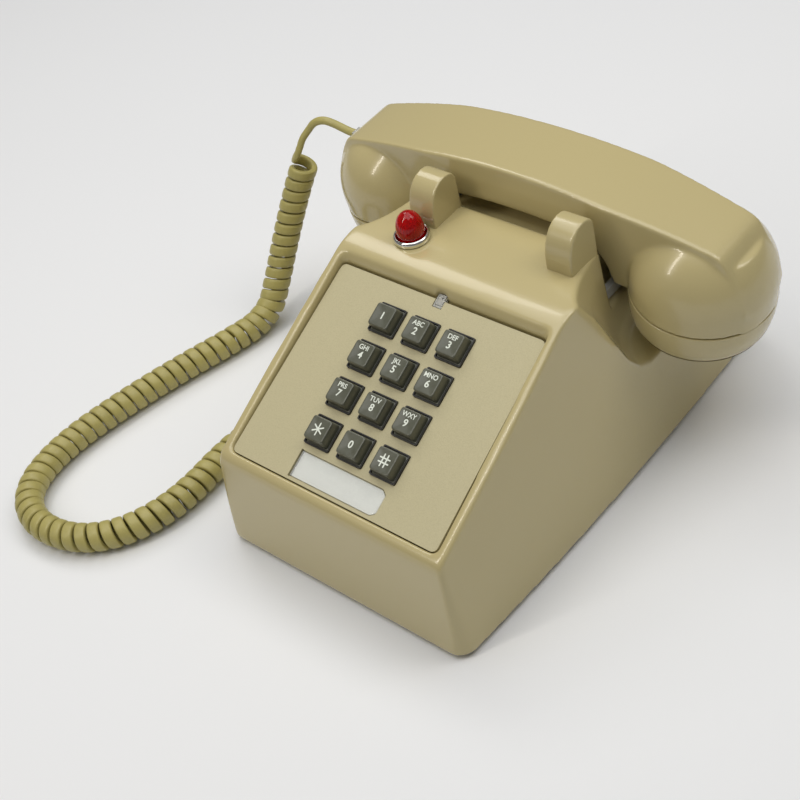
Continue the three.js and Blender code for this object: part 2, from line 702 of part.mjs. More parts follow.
// From the handset end to the base end, in the housing's frame.
const COIL_PATH = [
  [-137.5, 162.5, 84], [-142.5, 155, 68], [-146, 146.5, 52], [-148.5, 137.5, 36], [-149.5, 128, 21.5],
  [-149.5, 118.5, 11], [-150.5, 107.5, 7.2], [-154.5, 90, 7], [-161, 70, 7], [-167.5, 48, 7],
  [-173, 25, 7], [-176.5, 4, 7], [-176.5, -14, 7], [-172.5, -29, 7], [-164.5, -39, 7],
  [-152.5, -44.5, 7], [-138.5, -44.8, 7], [-124.5, -40.5, 7], [-113.5, -32, 7], [-105.5, -20, 7],
  [-100.5, -5, 7], [-99, 11, 7], [-99.5, 26, 7], [-99, 40, 7], [-96, 53, 7],
];
const LEAD_PATH = [
  [-117, 168, 98], [-121, 167.8, 100], [-126, 167, 100.8], [-131, 165.8, 99.4], [-135, 164.6, 95.6],
  [-137, 163.4, 90.4], [-137.4, 162.9, 85.2],
];
const TAIL_PATH = [
  [-95.7, 54.2, 7], [-93.6, 60, 7.2], [-90.6, 66, 8], [-88.4, 72, 9.4], [-86.6, 77, 11],
  [-85, 81.5, 12.4], [-82.6, 84.8, 13], [-80, 86, 13],
];

// ---------------------------------------------------------------- the phone
add('housing_shell', housingShell(), BEIGE);
add('faceplate', faceplate(), PLATE_BEIGE, plateFrame);
KEY_NAMES.forEach((name, i) => {
  const u = (i % 3 - 1) * PITCH;
  const v = (1.5 - Math.floor(i / 3)) * PITCH;
  add(name, key(), KEY_GREY, plateFrame).position.set(u, v, 0);
});
add('keypad_body', keypadBody(), BLACK, plateFrame);
add('keypad_board', box(-30, 30, -37, 37, BOARD_H - 1.6, BOARD_H), [0x2f5a3a, 0.6, 0], plateFrame);
add('number_card', alongZ(cardOutline(0), -1.4, -0.95, 4), CARD_WHITE, plateFrame);
add('card_window', alongZ(cardOutline(0), -0.65, -0.1, 4), CLEAR, plateFrame);
const latch = box(-LATCH.half, LATCH.half, LATCH.v0, LATCH.v1, -PLATE.thick, 0.2);
add('faceplate_latch', latch, CLEAR, plateFrame);

add('lamp_lens', lampLens(), RED);
add('lamp_bezel', lampBezel(), CHROME);
add('lamp_bulb', lampBulb(), CLEAR);
add('lamp_socket', lampSocket(), BLACK);

add('plunger_right', plunger(1), CLEAR);
add('plunger_left', plunger(-1), CLEAR);
add('hookswitch_bracket', hookBracket(), STEEL);
add('hookswitch_lever', hookLever(), STEEL);
add('hookswitch_contacts', contactStack(), BLACK);

add('base_plate', basePlate(), STEEL);
for (const [name, x, y] of [['foot_front_left', -54, 20], ['foot_front_right', 54, 20],
  ['foot_rear_left', -54, 206], ['foot_rear_right', 54, 206]]) add(name, foot(x, y), RUBBER);
add('housing_screw_front', housingScrew(SCREWS[0][0], SCREWS[0][1]), STEEL);
add('housing_screw_rear', housingScrew(SCREWS[1][0], SCREWS[1][1]), STEEL);
add('network_block', networkBlock(), GREY);

add('ringer_frame', ringerFrame(), STEEL);
add('gong_large', gong(29, 26), BRASS);
add('gong_small', gong(-29, 24), BRASS);
add('clapper', clapper(), STEEL);
add('ringer_coil', ringerCoil(), COPPER);
add('volume_wheel', volumeWheel(), GREY);

add('handset_handle', handsetHandle(), BEIGE);
add('transmitter_cap', cap(-1, [[0, 1], [6, 6]]), BEIGE);
add('receiver_cap', cap(1, [[0, 1], [5, 6], [10, 12]]), BEIGE);
add('transmitter_unit', capsule(-1, 59.5, 74, 22), STEEL);
add('receiver_unit', capsule(1, 59.5, 78, 22), GREY);

const e = EXIT;
add('handset_jack', jackBlock(-110.6, -98, e.y - 6.2, e.y + 6.2, e.z - 5.2, e.z + 5.2,
  [-112, -100, e.y - 5, e.y + 5, e.z - 3.6, e.z + 3.6]), BLACK);
add('handset_plug', box(-113.2, -101, e.y - 4.7, e.y + 4.7, e.z - 3.2, e.z + 3.2)
  .add(box(-116.2, -113, e.y - 2.6, e.y + 2.6, e.z - 2.3, e.z + 2.3)), CLEAR);
add('base_jack', jackBlock(-73.2, -58, JACK.y - 7, JACK.y + 7, JACK.z - 6, JACK.z + 6,
  [-75, -61, JACK.y - 5, JACK.y + 5, JACK.z - 3.6, JACK.z + 3.6]), BLACK);
add('base_plug', box(-75.4, -62, JACK.y - 4.7, JACK.y + 4.7, JACK.z - 3.2, JACK.z + 3.2)
  .add(box(-79.2, -75, JACK.y - 2.6, JACK.y + 2.6, JACK.z - 2.3, JACK.z + 2.3)), CLEAR);
const line = LINE_JACK;
add('line_jack', jackBlock(line.x - 7, line.x + 7, 211, 225.6, line.z - 6, line.z + 6,
  [line.x - 5, line.x + 5, 214, 227, line.z - 3.6, line.z + 3.6]), BLACK);

add('cord_lead', tubeAlong(LEAD_PATH, LEAD_R, 8, 10), CORD);
add('cord_coil', tubeAlong(COIL_PATH, COIL_R, 12, 44), CORD);
add('cord_tail', tubeAlong(TAIL_PATH, LEAD_R, 8, 10), CORD);

export default phone;
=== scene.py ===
import json
from math import copysign, cos, pi, radians, sin, sqrt, tan

import bmesh
import bpy
from mathutils import Matrix, Quaternion, Vector


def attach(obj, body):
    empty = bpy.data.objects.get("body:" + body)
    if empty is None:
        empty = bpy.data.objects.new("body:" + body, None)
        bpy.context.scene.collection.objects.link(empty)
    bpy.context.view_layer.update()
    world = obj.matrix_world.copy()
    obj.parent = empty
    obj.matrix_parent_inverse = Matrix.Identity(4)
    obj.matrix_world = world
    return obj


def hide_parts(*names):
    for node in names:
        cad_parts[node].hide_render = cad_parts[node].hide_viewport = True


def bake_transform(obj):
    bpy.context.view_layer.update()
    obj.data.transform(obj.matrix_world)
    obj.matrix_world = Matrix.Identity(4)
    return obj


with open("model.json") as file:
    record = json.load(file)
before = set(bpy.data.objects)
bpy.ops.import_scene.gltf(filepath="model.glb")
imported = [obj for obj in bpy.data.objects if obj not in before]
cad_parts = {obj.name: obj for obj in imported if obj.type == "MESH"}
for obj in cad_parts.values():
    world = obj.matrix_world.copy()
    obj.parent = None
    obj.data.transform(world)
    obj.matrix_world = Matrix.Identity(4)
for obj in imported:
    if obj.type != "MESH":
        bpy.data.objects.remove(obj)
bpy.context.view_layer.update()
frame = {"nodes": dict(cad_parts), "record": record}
scene = bpy.context.scene
nodes = frame["nodes"]

# -------- driving dimensions
# Shapes are drawn in millimetres in the housing's own frame: x from its middle, y from its
# front, z from the table. finish_piece() takes them to the row frame in metres.
MM = 0.001
BEYOND = 90.0                 # further out than either side of the housing,
BEHIND = 245.0                # than its back,
ABOVE = 140.0                 # and than its top, for cutting right through
PAST_ENDS = 120.0             # further out than either end of the handset
DEPTH = 228.0
TABLE_GAP = 2.0
WALL = 2.6
SIDE_TAPER = tan(radians(7.8))
HALF_WIDTH = 73.3             # at the table, where the housing is widest
WIDEST_AT = 138.0
BOW = 0.00026                 # how fast the sides draw in before and behind that
DECK_Z = 100.5
SADDLE_Z = 92.0
SLOPE = radians(24.5)         # of the faceplate
PITCH = 18.2                  # from key to key
PAD_AT = (0.0, 56.6, 74.7)    # middle of the keys, on the faceplate's face
PLATE_TOP = 43.9
PLATE_BOTTOM = -50.8
PLATE_HALF_TOP = 54.6
PLATE_HALF_BOTTOM = 56.3
PLATE_THICK = 2.0
WELL = 13.8                   # square opening round each key
KEY_BASE = 12.7
KEY_TOP = 10.0
KEY_RISE = 5.6
KEY_ROOT = -6.0
CARD = (-23.3, 23.3, -49.1, -37.4)  # u and v of the card's edges on the faceplate
LATCH = (2.2, 40.6, 46.6)     # half width, and v of its ends
LAMP_AT = (-30.0, 117.0)
LENS_R = 6.2
LENS_HEIGHT = 14.0            # over the deck
BEZEL_R = 8.2
HANDSET_Y = 169.0
CUP_X = 80.0
CUP_R = 31.0
CUP_DOME_Z = 82.0
CUP_TILT = radians(8)
SEAM_Z = 75.0
CAP_FACE_Z = 52.0
HANDLE_TOP = 121.2
FACET_END = (98.0, 107.8)     # where the handle's top meets its ends
JACK = (86.0, 13.0)           # y and z of the handset cord's jack, on the left
LINE_JACK = (30.0, 14.0)      # x and z of the line cord's jack, at the back
JACK_HOLE = (7.3, 6.3)        # half width and half height
EXIT = (-109.5, 168.0, 98.0)  # where the cord leaves the handset
POCKET = (37.5, 52.0, 145.3, 191.8, 69.0)  # x, y and floor of the hollow round each plunger
RECESS = (34.0, 180.0, 40.0, 86.0)         # half width, front, bottom and top of the carrying recess
STEM = (39.4, 43.6, 164.0, 174.0)          # x and y of each plunger's stem
SCREWS = [(0, 8.6, 37), (0, 213.8, 37.6)]  # x, y and top of the boss

TO_ROW = Matrix.Translation((0, -DEPTH / 2 * MM, 0)) @ Matrix.Scale(MM, 4)
IN_PLATE = Matrix.Translation(PAD_AT) @ Matrix.Rotation(SLOPE, 4, "X")


def in_cup(side):
    pivot = Vector((side * CUP_X, HANDSET_Y, SEAM_Z))
    lean = Matrix.Rotation(side * CUP_TILT, 4, "Y")
    return Matrix.Translation(pivot) @ lean @ Matrix.Translation(-pivot)


# -------- camera
CAMERA_AT = Vector((0.3579, -0.3482, 0.5053))
CAMERA_TARGET = Vector((-0.0104, -0.0444, 0.053))
CAMERA_ROLL = radians(-15.8)
CAMERA_LENS = 69.0


def assign(target, **values):
    """Sets several attributes at once."""
    for key, value in values.items():
        setattr(target, key, value)
    return target


def linked(name, data):
    """A new object with the given data, in the scene."""
    made = bpy.data.objects.new(name, data)
    scene.collection.objects.link(made)
    return made


def make_camera():
    camera = linked("camera", assign(bpy.data.cameras.new("camera"), lens=CAMERA_LENS))
    look = (CAMERA_TARGET - CAMERA_AT).to_track_quat("-Z", "Y").to_matrix().to_4x4()
    camera.matrix_world = Matrix.Translation(CAMERA_AT) @ look @ Matrix.Rotation(CAMERA_ROLL, 4, "Z")
    scene.camera = camera


make_camera()


# -------- mesh helpers
def new_object(name, verts, faces):
    mesh = bpy.data.meshes.new(name)
    mesh.from_pydata([tuple(v) for v in verts], [], faces)
    mesh.update()
    return linked(name, mesh)


def outward(made):
    """Points every face of a closed mesh out."""
    bm = bmesh.new()
    bm.from_mesh(made.data)
    bmesh.ops.remove_doubles(bm, verts=bm.verts, dist=1e-4)
    bmesh.ops.recalc_face_normals(bm, faces=bm.faces)
    bm.to_mesh(made.data)
    bm.free()
    return made


def drop(*objects):
    for made in objects:
        mesh = made.data
        bpy.data.objects.remove(made)
        bpy.data.meshes.remove(mesh)


def bake_modifiers(made):
    """Replaces the mesh by what its modifiers make of it."""
    bpy.context.view_layer.update()
    ready = made.evaluated_get(bpy.context.evaluated_depsgraph_get())
    mesh = bpy.data.meshes.new_from_object(ready)
    old = made.data
    made.modifiers.clear()
    made.data = mesh
    bpy.data.meshes.remove(old)
    return made


def modify(made, kind, **settings):
    assign(made.modifiers.new(kind.lower(), kind), **settings)


def combine(made, operation, *others):
    """Cuts or joins closed meshes, and drops all but the first."""
    for other in others:
        modify(made, "BOOLEAN", operation=operation, solver="MANIFOLD", object=other)
    bake_modifiers(made)
    drop(*others)
    return made


def cut(made, *others):
    return combine(made, "DIFFERENCE", *others)


def join(made, *others):
    return combine(made, "UNION", *others)


def common(made, *others):
    return combine(made, "INTERSECT", *others)


def moulded(made, voxel, smoothing, faces=None):
    """Rounds every edge the way a mould does: a fine even mesh, smoothed, and thinned to the faces."""
    modify(made, "REMESH", mode="VOXEL", voxel_size=voxel)
    modify(made, "SMOOTH", factor=0.5, iterations=smoothing)
    bake_modifiers(made)
    count = len(made.data.polygons) * 2
    if faces and count > faces:
        modify(made, "DECIMATE", ratio=faces / count)
        bake_modifiers(made)
    return made


# size of the voxels, passes of smoothing and most triangles
HOUSING_MOULD = (0.6, 36, 145000)
HANDLE_MOULD = (0.45, 44, 130000)
EAR_MOULD = (0.4, 12)


def add_bevel(made, width, segments, angle):
    modify(made, "BEVEL", width=width, segments=segments, limit_method="ANGLE", angle_limit=radians(angle))


def bevelled(made, width, segments):
    add_bevel(made, width, segments, 30)
    return bake_modifiers(made)


def box(x0, x1, y0, y1, z0, z1):
    verts = [(x, y, z) for x in (x0, x1) for y in (y0, y1) for z in (z0, z1)]
    faces = [(0, 1, 3, 2), (4, 6, 7, 5), (0, 4, 5, 1), (2, 3, 7, 6), (0, 2, 6, 4), (1, 5, 7, 3)]
    return outward(new_object("box", verts, faces))


def mirrored_box(side, x0, x1, *rest):
    """A box between two distances from the middle, on the given side."""
    return box(*sorted((side * x0, side * x1)), *rest)


def loft(rings):
    """A closed skin through rings of equal point counts, with a face at each end."""
    count = len(rings[0])
    verts = [v for ring in rings for v in ring]
    faces = [tuple(reversed(range(count)))]
    for r in range(len(rings) - 1):
        for i in range(count):
            a = r * count + i
            b = r * count + (i + 1) % count
            faces.append((a, b, b + count, a + count))
    last = (len(rings) - 1) * count
    faces.append(tuple(range(last, last + count)))
    return outward(new_object("loft", verts, faces))


def turned(profile, x, y, segments):
    """A turned solid about a line along Z: profile is a closed loop of (radius, z)."""
    verts = []
    faces = []
    rings = []
    for r, z in profile:
        if r < 1e-6:
            rings.append([len(verts)])
            verts.append((x, y, z))
            continue
        rings.append(list(range(len(verts), len(verts) + segments)))
        for i in range(segments):
            t = 2 * pi * i / segments
            verts.append((x + r * cos(t), y + r * sin(t), z))
    for a, b in zip(rings, rings[1:] + rings[:1]):
        if len(a) == 1 and len(b) == 1:
            continue
        for i in range(segments):
            j = (i + 1) % segments
            if len(a) == 1:
                faces.append((a[0], b[i], b[j]))
            elif len(b) == 1:
                faces.append((a[i], a[j], b[0]))
            else:
                faces.append((a[i], a[j], b[j], b[i]))
    return outward(new_object("turned", verts, faces))


def rod(x, y, z0, z1, r, segments=48):
    """An upright cylinder."""
    return turned([(0, z0), (r, z0), (r, z1), (0, z1)], x, y, segments)


def bend(a, b, c, steps=12):
    """A curve from a to c that heads for b at both ends, without its first point."""
    a, b, c = Vector(a), Vector(b), Vector(c)
    shares = [k / steps for k in range(1, steps + 1)]
    return [a * (1 - t) ** 2 + b * 2 * t * (1 - t) + c * t * t for t in shares]


def rounded(points, segments=8):
    """A closed outline with its corners rounded: points are (a, b, radius)."""
    outline = []
    for i, (a, b, *radius) in enumerate(points):
        corner = Vector((a, b))
        if not radius:
            outline.append(corner)
            continue
        before = (Vector(points[i - 1][:2]) - corner).normalized()
        after = (Vector(points[(i + 1) % len(points)][:2]) - corner).normalized()
        start = corner + before * radius[0]
        outline += [start, *bend(start, corner, corner + after * radius[0], segments)]
    return outline


def rectangle(x0, x1, y0, y1, corner, segments):
    return rounded([(x0, y0, corner), (x1, y0, corner), (x1, y1, corner), (x0, y1, corner)], segments)


def shifted(outline, u, v):
    return [(p[0] + u, p[1] + v) for p in outline]


def arc(r, z, rise, steps):
    """A quarter of an ellipse, from radius r at height z up to the axis, without its two ends."""
    turns = (k / steps * pi / 2 for k in range(1, steps))
    return [(r * cos(t), z + rise * sin(t)) for t in turns]


def squarish(t, power):
    """A point of a unit superellipse: round at power 1, and squarer below it."""
    return tuple(copysign(abs(c) ** power, c) for c in (cos(t), sin(t)))


def along_x(outline, x0, x1):
    return loft([[(x, p[0], p[1]) for p in outline] for x in (x0, x1)])


def along_y(outline, y0, y1):
    return loft([[(p[0], y, p[1]) for p in outline] for y in (y0, y1)])


def level(outline, z):
    return [(p[0], p[1], z) for p in outline]


def along_z(outline, z0, z1):
    return loft([level(outline, z) for z in (z0, z1)])


def moved(made, matrix):
    made.data.transform(matrix)
    return made


def finish_piece(made, name, body, slot, replaces=(), sharp=40, looks=None):
    """Takes a shape in millimetres to the row frame, gives it its body and its look (the slot's look unless
    looks are given), and hides the CAD nodes it replaces.
    """
    made.name = made.data.name = name
    made.data.transform(TO_ROW)
    made.data.materials.clear()
    for look in looks or [slot]:
        made.data.materials.append(LOOKS[look])
    shade(made, sharp)
    if body:
        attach(made, body)
    if replaces:
        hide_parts(*replaces)
    return made


def shade(made, sharp):
    """Smooth shading that keeps flat faces flat and edges over the given angle crisp."""
    mesh = made.data
    mesh.polygons.foreach_set("use_smooth", [True] * len(mesh.polygons))
    mesh.set_sharp_from_angle(angle=radians(sharp))
    modify(made, "WEIGHTED_NORMAL", keep_sharp=True)


# -------- materials
LOOKS = {}


class Look:
    """A procedural material, kept in LOOKS: a Principled shader and the noise that feeds it.

    A grain is what noise() takes: its scale, detail, roughness and stretch.
    """

    def __init__(self, name, color, roughness, metallic=0.0, **sockets):
        self.material = LOOKS[name] = bpy.data.materials.new(name)
        self.material.use_nodes = True
        self.tree = self.material.node_tree
        self.tree.nodes.clear()
        self.shader = self.node("BsdfPrincipled")
        self.link(self.shader.outputs[0], self.node("OutputMaterial").inputs["Surface"])
        self.shader.inputs["Base Color"].default_value = (*color, 1)
        self.shader.inputs["Roughness"].default_value = roughness
        self.shader.inputs["Metallic"].default_value = metallic
        for key, value in sockets.items():
            self.shader.inputs[key.replace("_", " ")].default_value = value
        self.coordinates = self.node("TexCoord").outputs["Object"]
        self.height = None

    def node(self, kind, **values):
        made = self.tree.nodes.new("ShaderNode" + kind)
        for key, value in values.items():
            made.inputs[key.replace("_", " ")].default_value = value
        return made

    def link(self, source, target):
        self.tree.links.new(source, target)

    def noise(self, scale, detail, roughness=0.5, stretch=None):
        """Noise with features of about 1/scale metres, drawn out along an axis by stretch."""
        made = self.node("TexNoise", Scale=scale, Detail=detail, Roughness=roughness)
        source = self.coordinates
        if stretch:
            mapping = self.node("Mapping", Scale=stretch)
            self.link(source, mapping.inputs["Vector"])
            source = mapping.outputs[0]
        self.link(source, made.inputs["Vector"])
        return made.outputs["Fac"]

    def ranged(self, grain, low, high, at):
        """Noise taken from the values in at to those from low to high."""
        made = self.node("MapRange", From_Min=at[0], From_Max=at[1], To_Min=low, To_Max=high)
        self.link(self.noise(*grain), made.inputs["Value"])
        return made.outputs["Result"]

    def mottle(self, grain, color, share=1.0, at=(0.35, 0.65)):
        """Mixes a second colour in where the noise is high."""
        made = self.node("Mix")
        made.data_type = "RGBA"
        before = self.shader.inputs["Base Color"]
        if before.is_linked:
            self.link(before.links[0].from_socket, made.inputs["A"])
        else:
            made.inputs["A"].default_value = before.default_value
        made.inputs["B"].default_value = (*color, 1)
        self.link(self.ranged(grain, 0.0, share, at), made.inputs["Factor"])
        self.link(made.outputs["Result"], before)

    def rough(self, grain, low, high, at=(0.35, 0.65)):
        self.link(self.ranged(grain, low, high, at), self.shader.inputs["Roughness"])

    def bump(self, grain, depth):
        """Raises the surface by up to depth metres; each call adds to the ones before."""
        made = self.node("Bump", Strength=1.0, Distance=depth)
        self.link(self.noise(*grain), made.inputs["Height"])
        if self.height:
            self.link(self.height, made.inputs["Normal"])
        self.height = made.outputs["Normal"]
        self.link(self.height, self.shader.inputs["Normal"])


def shaded(color, factor):
    return tuple(c * factor for c in color)


BEIGE = (0.5, 0.424, 0.212)
PANEL_BEIGE = (0.505, 0.455, 0.275)
CORD_OLIVE = (0.4, 0.352, 0.118)


def body_plastic():
    look = Look("body_plastic", BEIGE, 0.22, IOR=1.52, Coat_Weight=0.35, Coat_Roughness=0.05)
    look.mottle((7, 3), shaded(BEIGE, 0.955), 1.0, (0.25, 0.75))
    look.mottle((900, 2), shaded(BEIGE, 0.97), 1.0, (0.3, 0.7))
    look.rough((24, 4, 0.55), 0.2, 0.26, (0.2, 0.8))
    look.bump((55, 2), 0.00002)
    look.bump((3200, 2), 0.0000012)


def faceplate_plastic():
    look = Look("faceplate_plastic", PANEL_BEIGE, 0.5, IOR=1.5)
    grain = (1900, 4, 0.7)
    look.mottle((14, 3), shaded(PANEL_BEIGE, 0.96), 0.8, (0.25, 0.75))
    look.mottle(grain, shaded(PANEL_BEIGE, 0.82), 0.55, (0.45, 0.62))
    look.rough((700, 3), 0.44, 0.58)
    look.bump(grain, 0.00009)


def key_plastic():
    look = Look("key_plastic", (0.082, 0.085, 0.06), 0.36, IOR=1.5, Coat_Weight=0.25, Coat_Roughness=0.16)
    look.mottle((160, 3), (0.096, 0.099, 0.071), 0.8)
    look.rough((500, 4), 0.28, 0.42)
    look.bump((3000, 3), 0.000006)


def key_figures():
    look = Look("key_figures", (0.78, 0.82, 0.74), 0.45)
    look.mottle((1500, 3), (0.62, 0.66, 0.58), 0.7)


def black_plastic():
    look = Look("black_plastic", (0.012, 0.012, 0.013), 0.4)
    look.mottle((200, 3), (0.022, 0.021, 0.02), 0.8)
    look.rough((900, 3), 0.34, 0.5)
    look.bump((2500, 2), 0.000006)


def grey_plastic():
    look = Look("grey_plastic", (0.2, 0.21, 0.21), 0.45)
    look.mottle((120, 3), (0.16, 0.165, 0.165), 0.8)
    look.rough((700, 3), 0.38, 0.55)
    look.bump((2500, 2), 0.000006)


def cord_plastic():
    look = Look("cord_plastic", CORD_OLIVE, 0.42, IOR=1.48)
    look.mottle((70, 4), shaded(CORD_OLIVE, 0.86), 0.8)
    look.mottle((900, 3), shaded(CORD_OLIVE, 1.08), 0.5)
    look.rough((500, 4), 0.34, 0.5)
    look.bump((1800, 3), 0.00001)


def red_lens():
    clear = {"IOR": 1.45, "Transmission_Weight": 0.72, "Specular_IOR_Level": 0.35}
    look = Look("red_lens", (0.8, 0.003, 0.004), 0.04, **clear)
    look.mottle((180, 2), (0.66, 0.001, 0.002), 0.6)
    look.bump((500, 2), 0.000012)


def clear_plastic():
    look = Look("clear_plastic", (0.84, 0.83, 0.78), 0.22, IOR=1.46, Transmission_Weight=0.6)
    look.mottle((260, 3), (0.74, 0.77, 0.74), 0.6)
    look.bump((700, 2), 0.000012)


def clear_sheet():
    look = Look("clear_sheet", (0.9, 0.92, 0.9), 0.08, IOR=1.49, Alpha=0.22)
    look.mottle((260, 3), (0.8, 0.82, 0.8), 0.6)
    look.bump((500, 2), 0.000008)


def chrome_trim():
    look = Look("chrome_trim", (0.82, 0.82, 0.8), 0.07, 1.0)
    look.mottle((700, 3), (0.7, 0.7, 0.68), 0.5)
    look.rough((1200, 4), 0.04, 0.13)
    look.bump((1500, 2), 0.000003)


def steel():
    look = Look("steel", (0.5, 0.5, 0.48), 0.34, 1.0)
    look.mottle((90, 4), (0.4, 0.39, 0.36), 0.7)
    look.rough((240, 4, 0.6, (1, 14, 1)), 0.26, 0.46)
    look.bump((600, 3, 0.5, (1, 20, 1)), 0.000006)


def brass_gong():
    look = Look("brass_gong", (0.62, 0.46, 0.2), 0.26, 1.0)
    look.mottle((120, 4), (0.48, 0.34, 0.14), 0.6)
    look.rough((400, 4), 0.18, 0.36)
    look.bump((1200, 2), 0.000004)


def rubber_feet():
    look = Look("rubber_feet", (0.02, 0.02, 0.02), 0.8)
    look.mottle((300, 4), (0.04, 0.038, 0.035), 0.7)
    look.rough((900, 3), 0.7, 0.9)
    look.bump((1800, 4), 0.00003)


def circuit_board():
    look = Look("circuit_board", (0.03, 0.11, 0.045), 0.4)
    look.mottle((300, 3, 0.5, (1, 6, 1)), (0.05, 0.17, 0.07), 0.8)
    look.rough((700, 3), 0.3, 0.5)
    look.bump((900, 3, 0.5, (1, 6, 1)), 0.00002)


def coil_copper():
    look = Look("coil_copper", (0.36, 0.14, 0.055), 0.32, 0.8)
    look.mottle((500, 3, 0.5, (12, 1, 1)), (0.2, 0.07, 0.03), 0.8)
    look.rough((700, 3), 0.24, 0.42)
    look.bump((700, 3, 0.5, (12, 1, 1)), 0.00006)


def card():
    look = Look("card", (0.74, 0.75, 0.71), 0.55)
    look.mottle((600, 4), (0.68, 0.69, 0.65), 0.7)
    look.bump((2600, 4), 0.00001)


def contact_gold():
    look = Look("contact_gold", (0.85, 0.6, 0.22), 0.2, 1.0)
    look.rough((1500, 3), 0.14, 0.3)


for make_look in (
    body_plastic, faceplate_plastic, key_plastic, key_figures, black_plastic, grey_plastic, cord_plastic,
    red_lens, clear_plastic, clear_sheet, chrome_trim, steel, brass_gong, rubber_feet, circuit_board,
    coil_copper, card, contact_gold,
):
    make_look()


# -------- the handset's side outline
def crest(x):
    """Height of the handle's arched top."""
    return HANDLE_TOP - (HANDLE_TOP - FACET_END[1]) * (x / FACET_END[0]) ** 2


def handle_outline():
    inner_x = CUP_X - CUP_R
    right = [Vector((94 * i / 32, crest(94 * i / 32))) for i in range(33)]
    right += bend((94, crest(94)), FACET_END, (99.8, 105.4), 6)
    right += bend((99.8, 105.4), (110.4, 91), (110.2, 66), 16)
    right += [Vector((inner_x, 66))]
    right += bend((inner_x, 66), (inner_x, 97), (30, 100.4), 16)
    right += bend((30, 100.4), (15, 102), (0, 102), 8)
    left = [Vector((-p.x, p.y)) for p in reversed(right)]
    return right + left[1:-1]


# -------- plugs, jacks and the curly cord
WIRE_LENGTH = 2.2             # metres of wire from plug to plug: 63 turns and two short leads
WIRE_WIDE = 5.3               # along the coil, where the wire lies flat
LEAD_WIDE = 3.9               # in the straight ends
WIRE_THICK = 3.2
COIL_R = 6.9                  # outside radius of the coil
TURN_R = COIL_R - WIRE_THICK / 2
OPENING = 13.0                # how far before the coil the wire moves out to its radius
SWING = 14.0                  # length of wire over which it swings round into the coil
START_ANGLE = radians(-135)
POINTS_PER_TURN = 28
WIRE_SIDES = 16
CORE_STEP = 0.5
LEAD_STEPS = 32
TAIL_STEPS = 48
LEAD_PATH = [
    (-107.2, 168, 98), (-111.4, 168, 98.2), (-116.2, 168, 99), (-121, 167.8, 100), (-126, 167, 100.8),
    (-131, 165.8, 99.4), (-135, 164.6, 95.6), (-137, 163.4, 90.4), (-137.4, 162.9, 85.2),
]
COIL_PATH = [
    (-137.5, 162.5, 84), (-142.5, 155, 68), (-146, 146.5, 52), (-148.5, 137.5, 36),
    (-149.5, 128, 21.5), (-149.5, 118.5, 11), (-150.5, 107.5, 7.2), (-154.5, 90, 7.2),
    (-161, 70, 7.2), (-167.5, 48, 7.2), (-173, 25, 7.2), (-176.5, 4, 7.2), (-176.5, -14, 7.2),
    (-172.5, -29, 7.2), (-164.5, -39, 7.2), (-152.5, -44.5, 7.2), (-138.5, -44.8, 7.2),
    (-124.5, -40.5, 7.2), (-113.5, -32, 7.2), (-105.5, -20, 7.2), (-100.5, -5, 7.2), (-99, 11, 7.2),
    (-99.5, 26, 7.2), (-99, 40, 7.2), (-96, 53, 7.2),
]
TAIL_PATH = [
    (-95.7, 54.2, 7.2), (-93.6, 60, 7.4), (-90.6, 66, 8), (-88.4, 72, 9.4), (-86.6, 77, 11),
    (-85, 81.5, 12.4), (-82.6, 84.8, 13), (-79.4, 86, 13),
]
HANDSET_MOUTH = Matrix.Translation((-110.6, EXIT[1], EXIT[2]))
BASE_MOUTH = Matrix.Translation((-73.2, *JACK))
AT_LINE_JACK = Matrix.Translation((LINE_JACK[0], 225.6, LINE_JACK[1]))
LINE_MOUTH = AT_LINE_JACK @ Matrix.Rotation(-pi / 2, 4, "Z")
CONTACTS = 4
CONTACT_PITCH = 1.02


def make_jack(name, node, mouth, length, setback):
    """A socket in the base, opening along -X at its mouth, with a slot for the plug's catch."""
    jack = box(setback, length, -7, 7, -6, 6)
    cut(jack, box(setback - 5, length - 2, -5, 5, -3.6, 3.6))
    cut(jack, box(setback - 5, length - 5, -1.9, 1.9, -5.1, 0))
    bevelled(jack, 0.3, 3)
    moved(jack, mouth)
    finish_piece(jack, name, "base", "black_plastic", [node], 35)


def make_handset_socket():
    """The socket in the handset's end, its face following the curve of the end."""
    x, y, z = EXIT
    jack = box(-PAST_ENDS, -92.6, y - 6.2, y + 6.2, z - 5.2, z + 5.2)
    common(jack, moved(along_y(handle_outline(), y - 9, y + 9), Matrix.Translation((0.5, 0, -0.35))))
    cut(jack, box(-PAST_ENDS, -94, y - 5, y + 5, z - 3.5, z + 3.5))
    bevelled(jack, 0.25, 3)
    finish_piece(jack, "handset_socket", "handset", "body_plastic", ["handset_jack"], 35)


def make_contacts(name, body, mouth, x0, x1):
    """Gold strips side by side, in a plug's nose or down a jack's throat."""
    strips = None
    for i in range(CONTACTS):
        y = (i - (CONTACTS - 1) / 2) * CONTACT_PITCH
        strip = box(x0, x1, y - 0.22, y + 0.22, 1.5, 2.9)
        strips = join(strips, strip) if strips else strip
    bevelled(strips, 0.08, 2)
    moved(strips, mouth)
    return finish_piece(strips, name, body, "brass_gong", [], 35, ["contact_gold"])


def make_plug(name, node, body, mouth, back, tip, nose):
    """A clear plug in its socket, with a slim nose where the wire goes in."""
    plug = box(back, tip, -4.7, 4.7, -3.2, 3.2)
    cut(plug, box(tip - 7, tip + 1, -2.3, 2.3, 1.3, 4), box(back + 1.3, back + 3, -3.4, 3.4, 1.4, 4))
    join(plug, box(nose, back + 0.2, -2.6, 2.6, -2.3, 2.3))
    bevelled(plug, 0.45, 3)
    moved(plug, mouth)
    return finish_piece(plug, name, body, "clear_plastic", [node], 35)


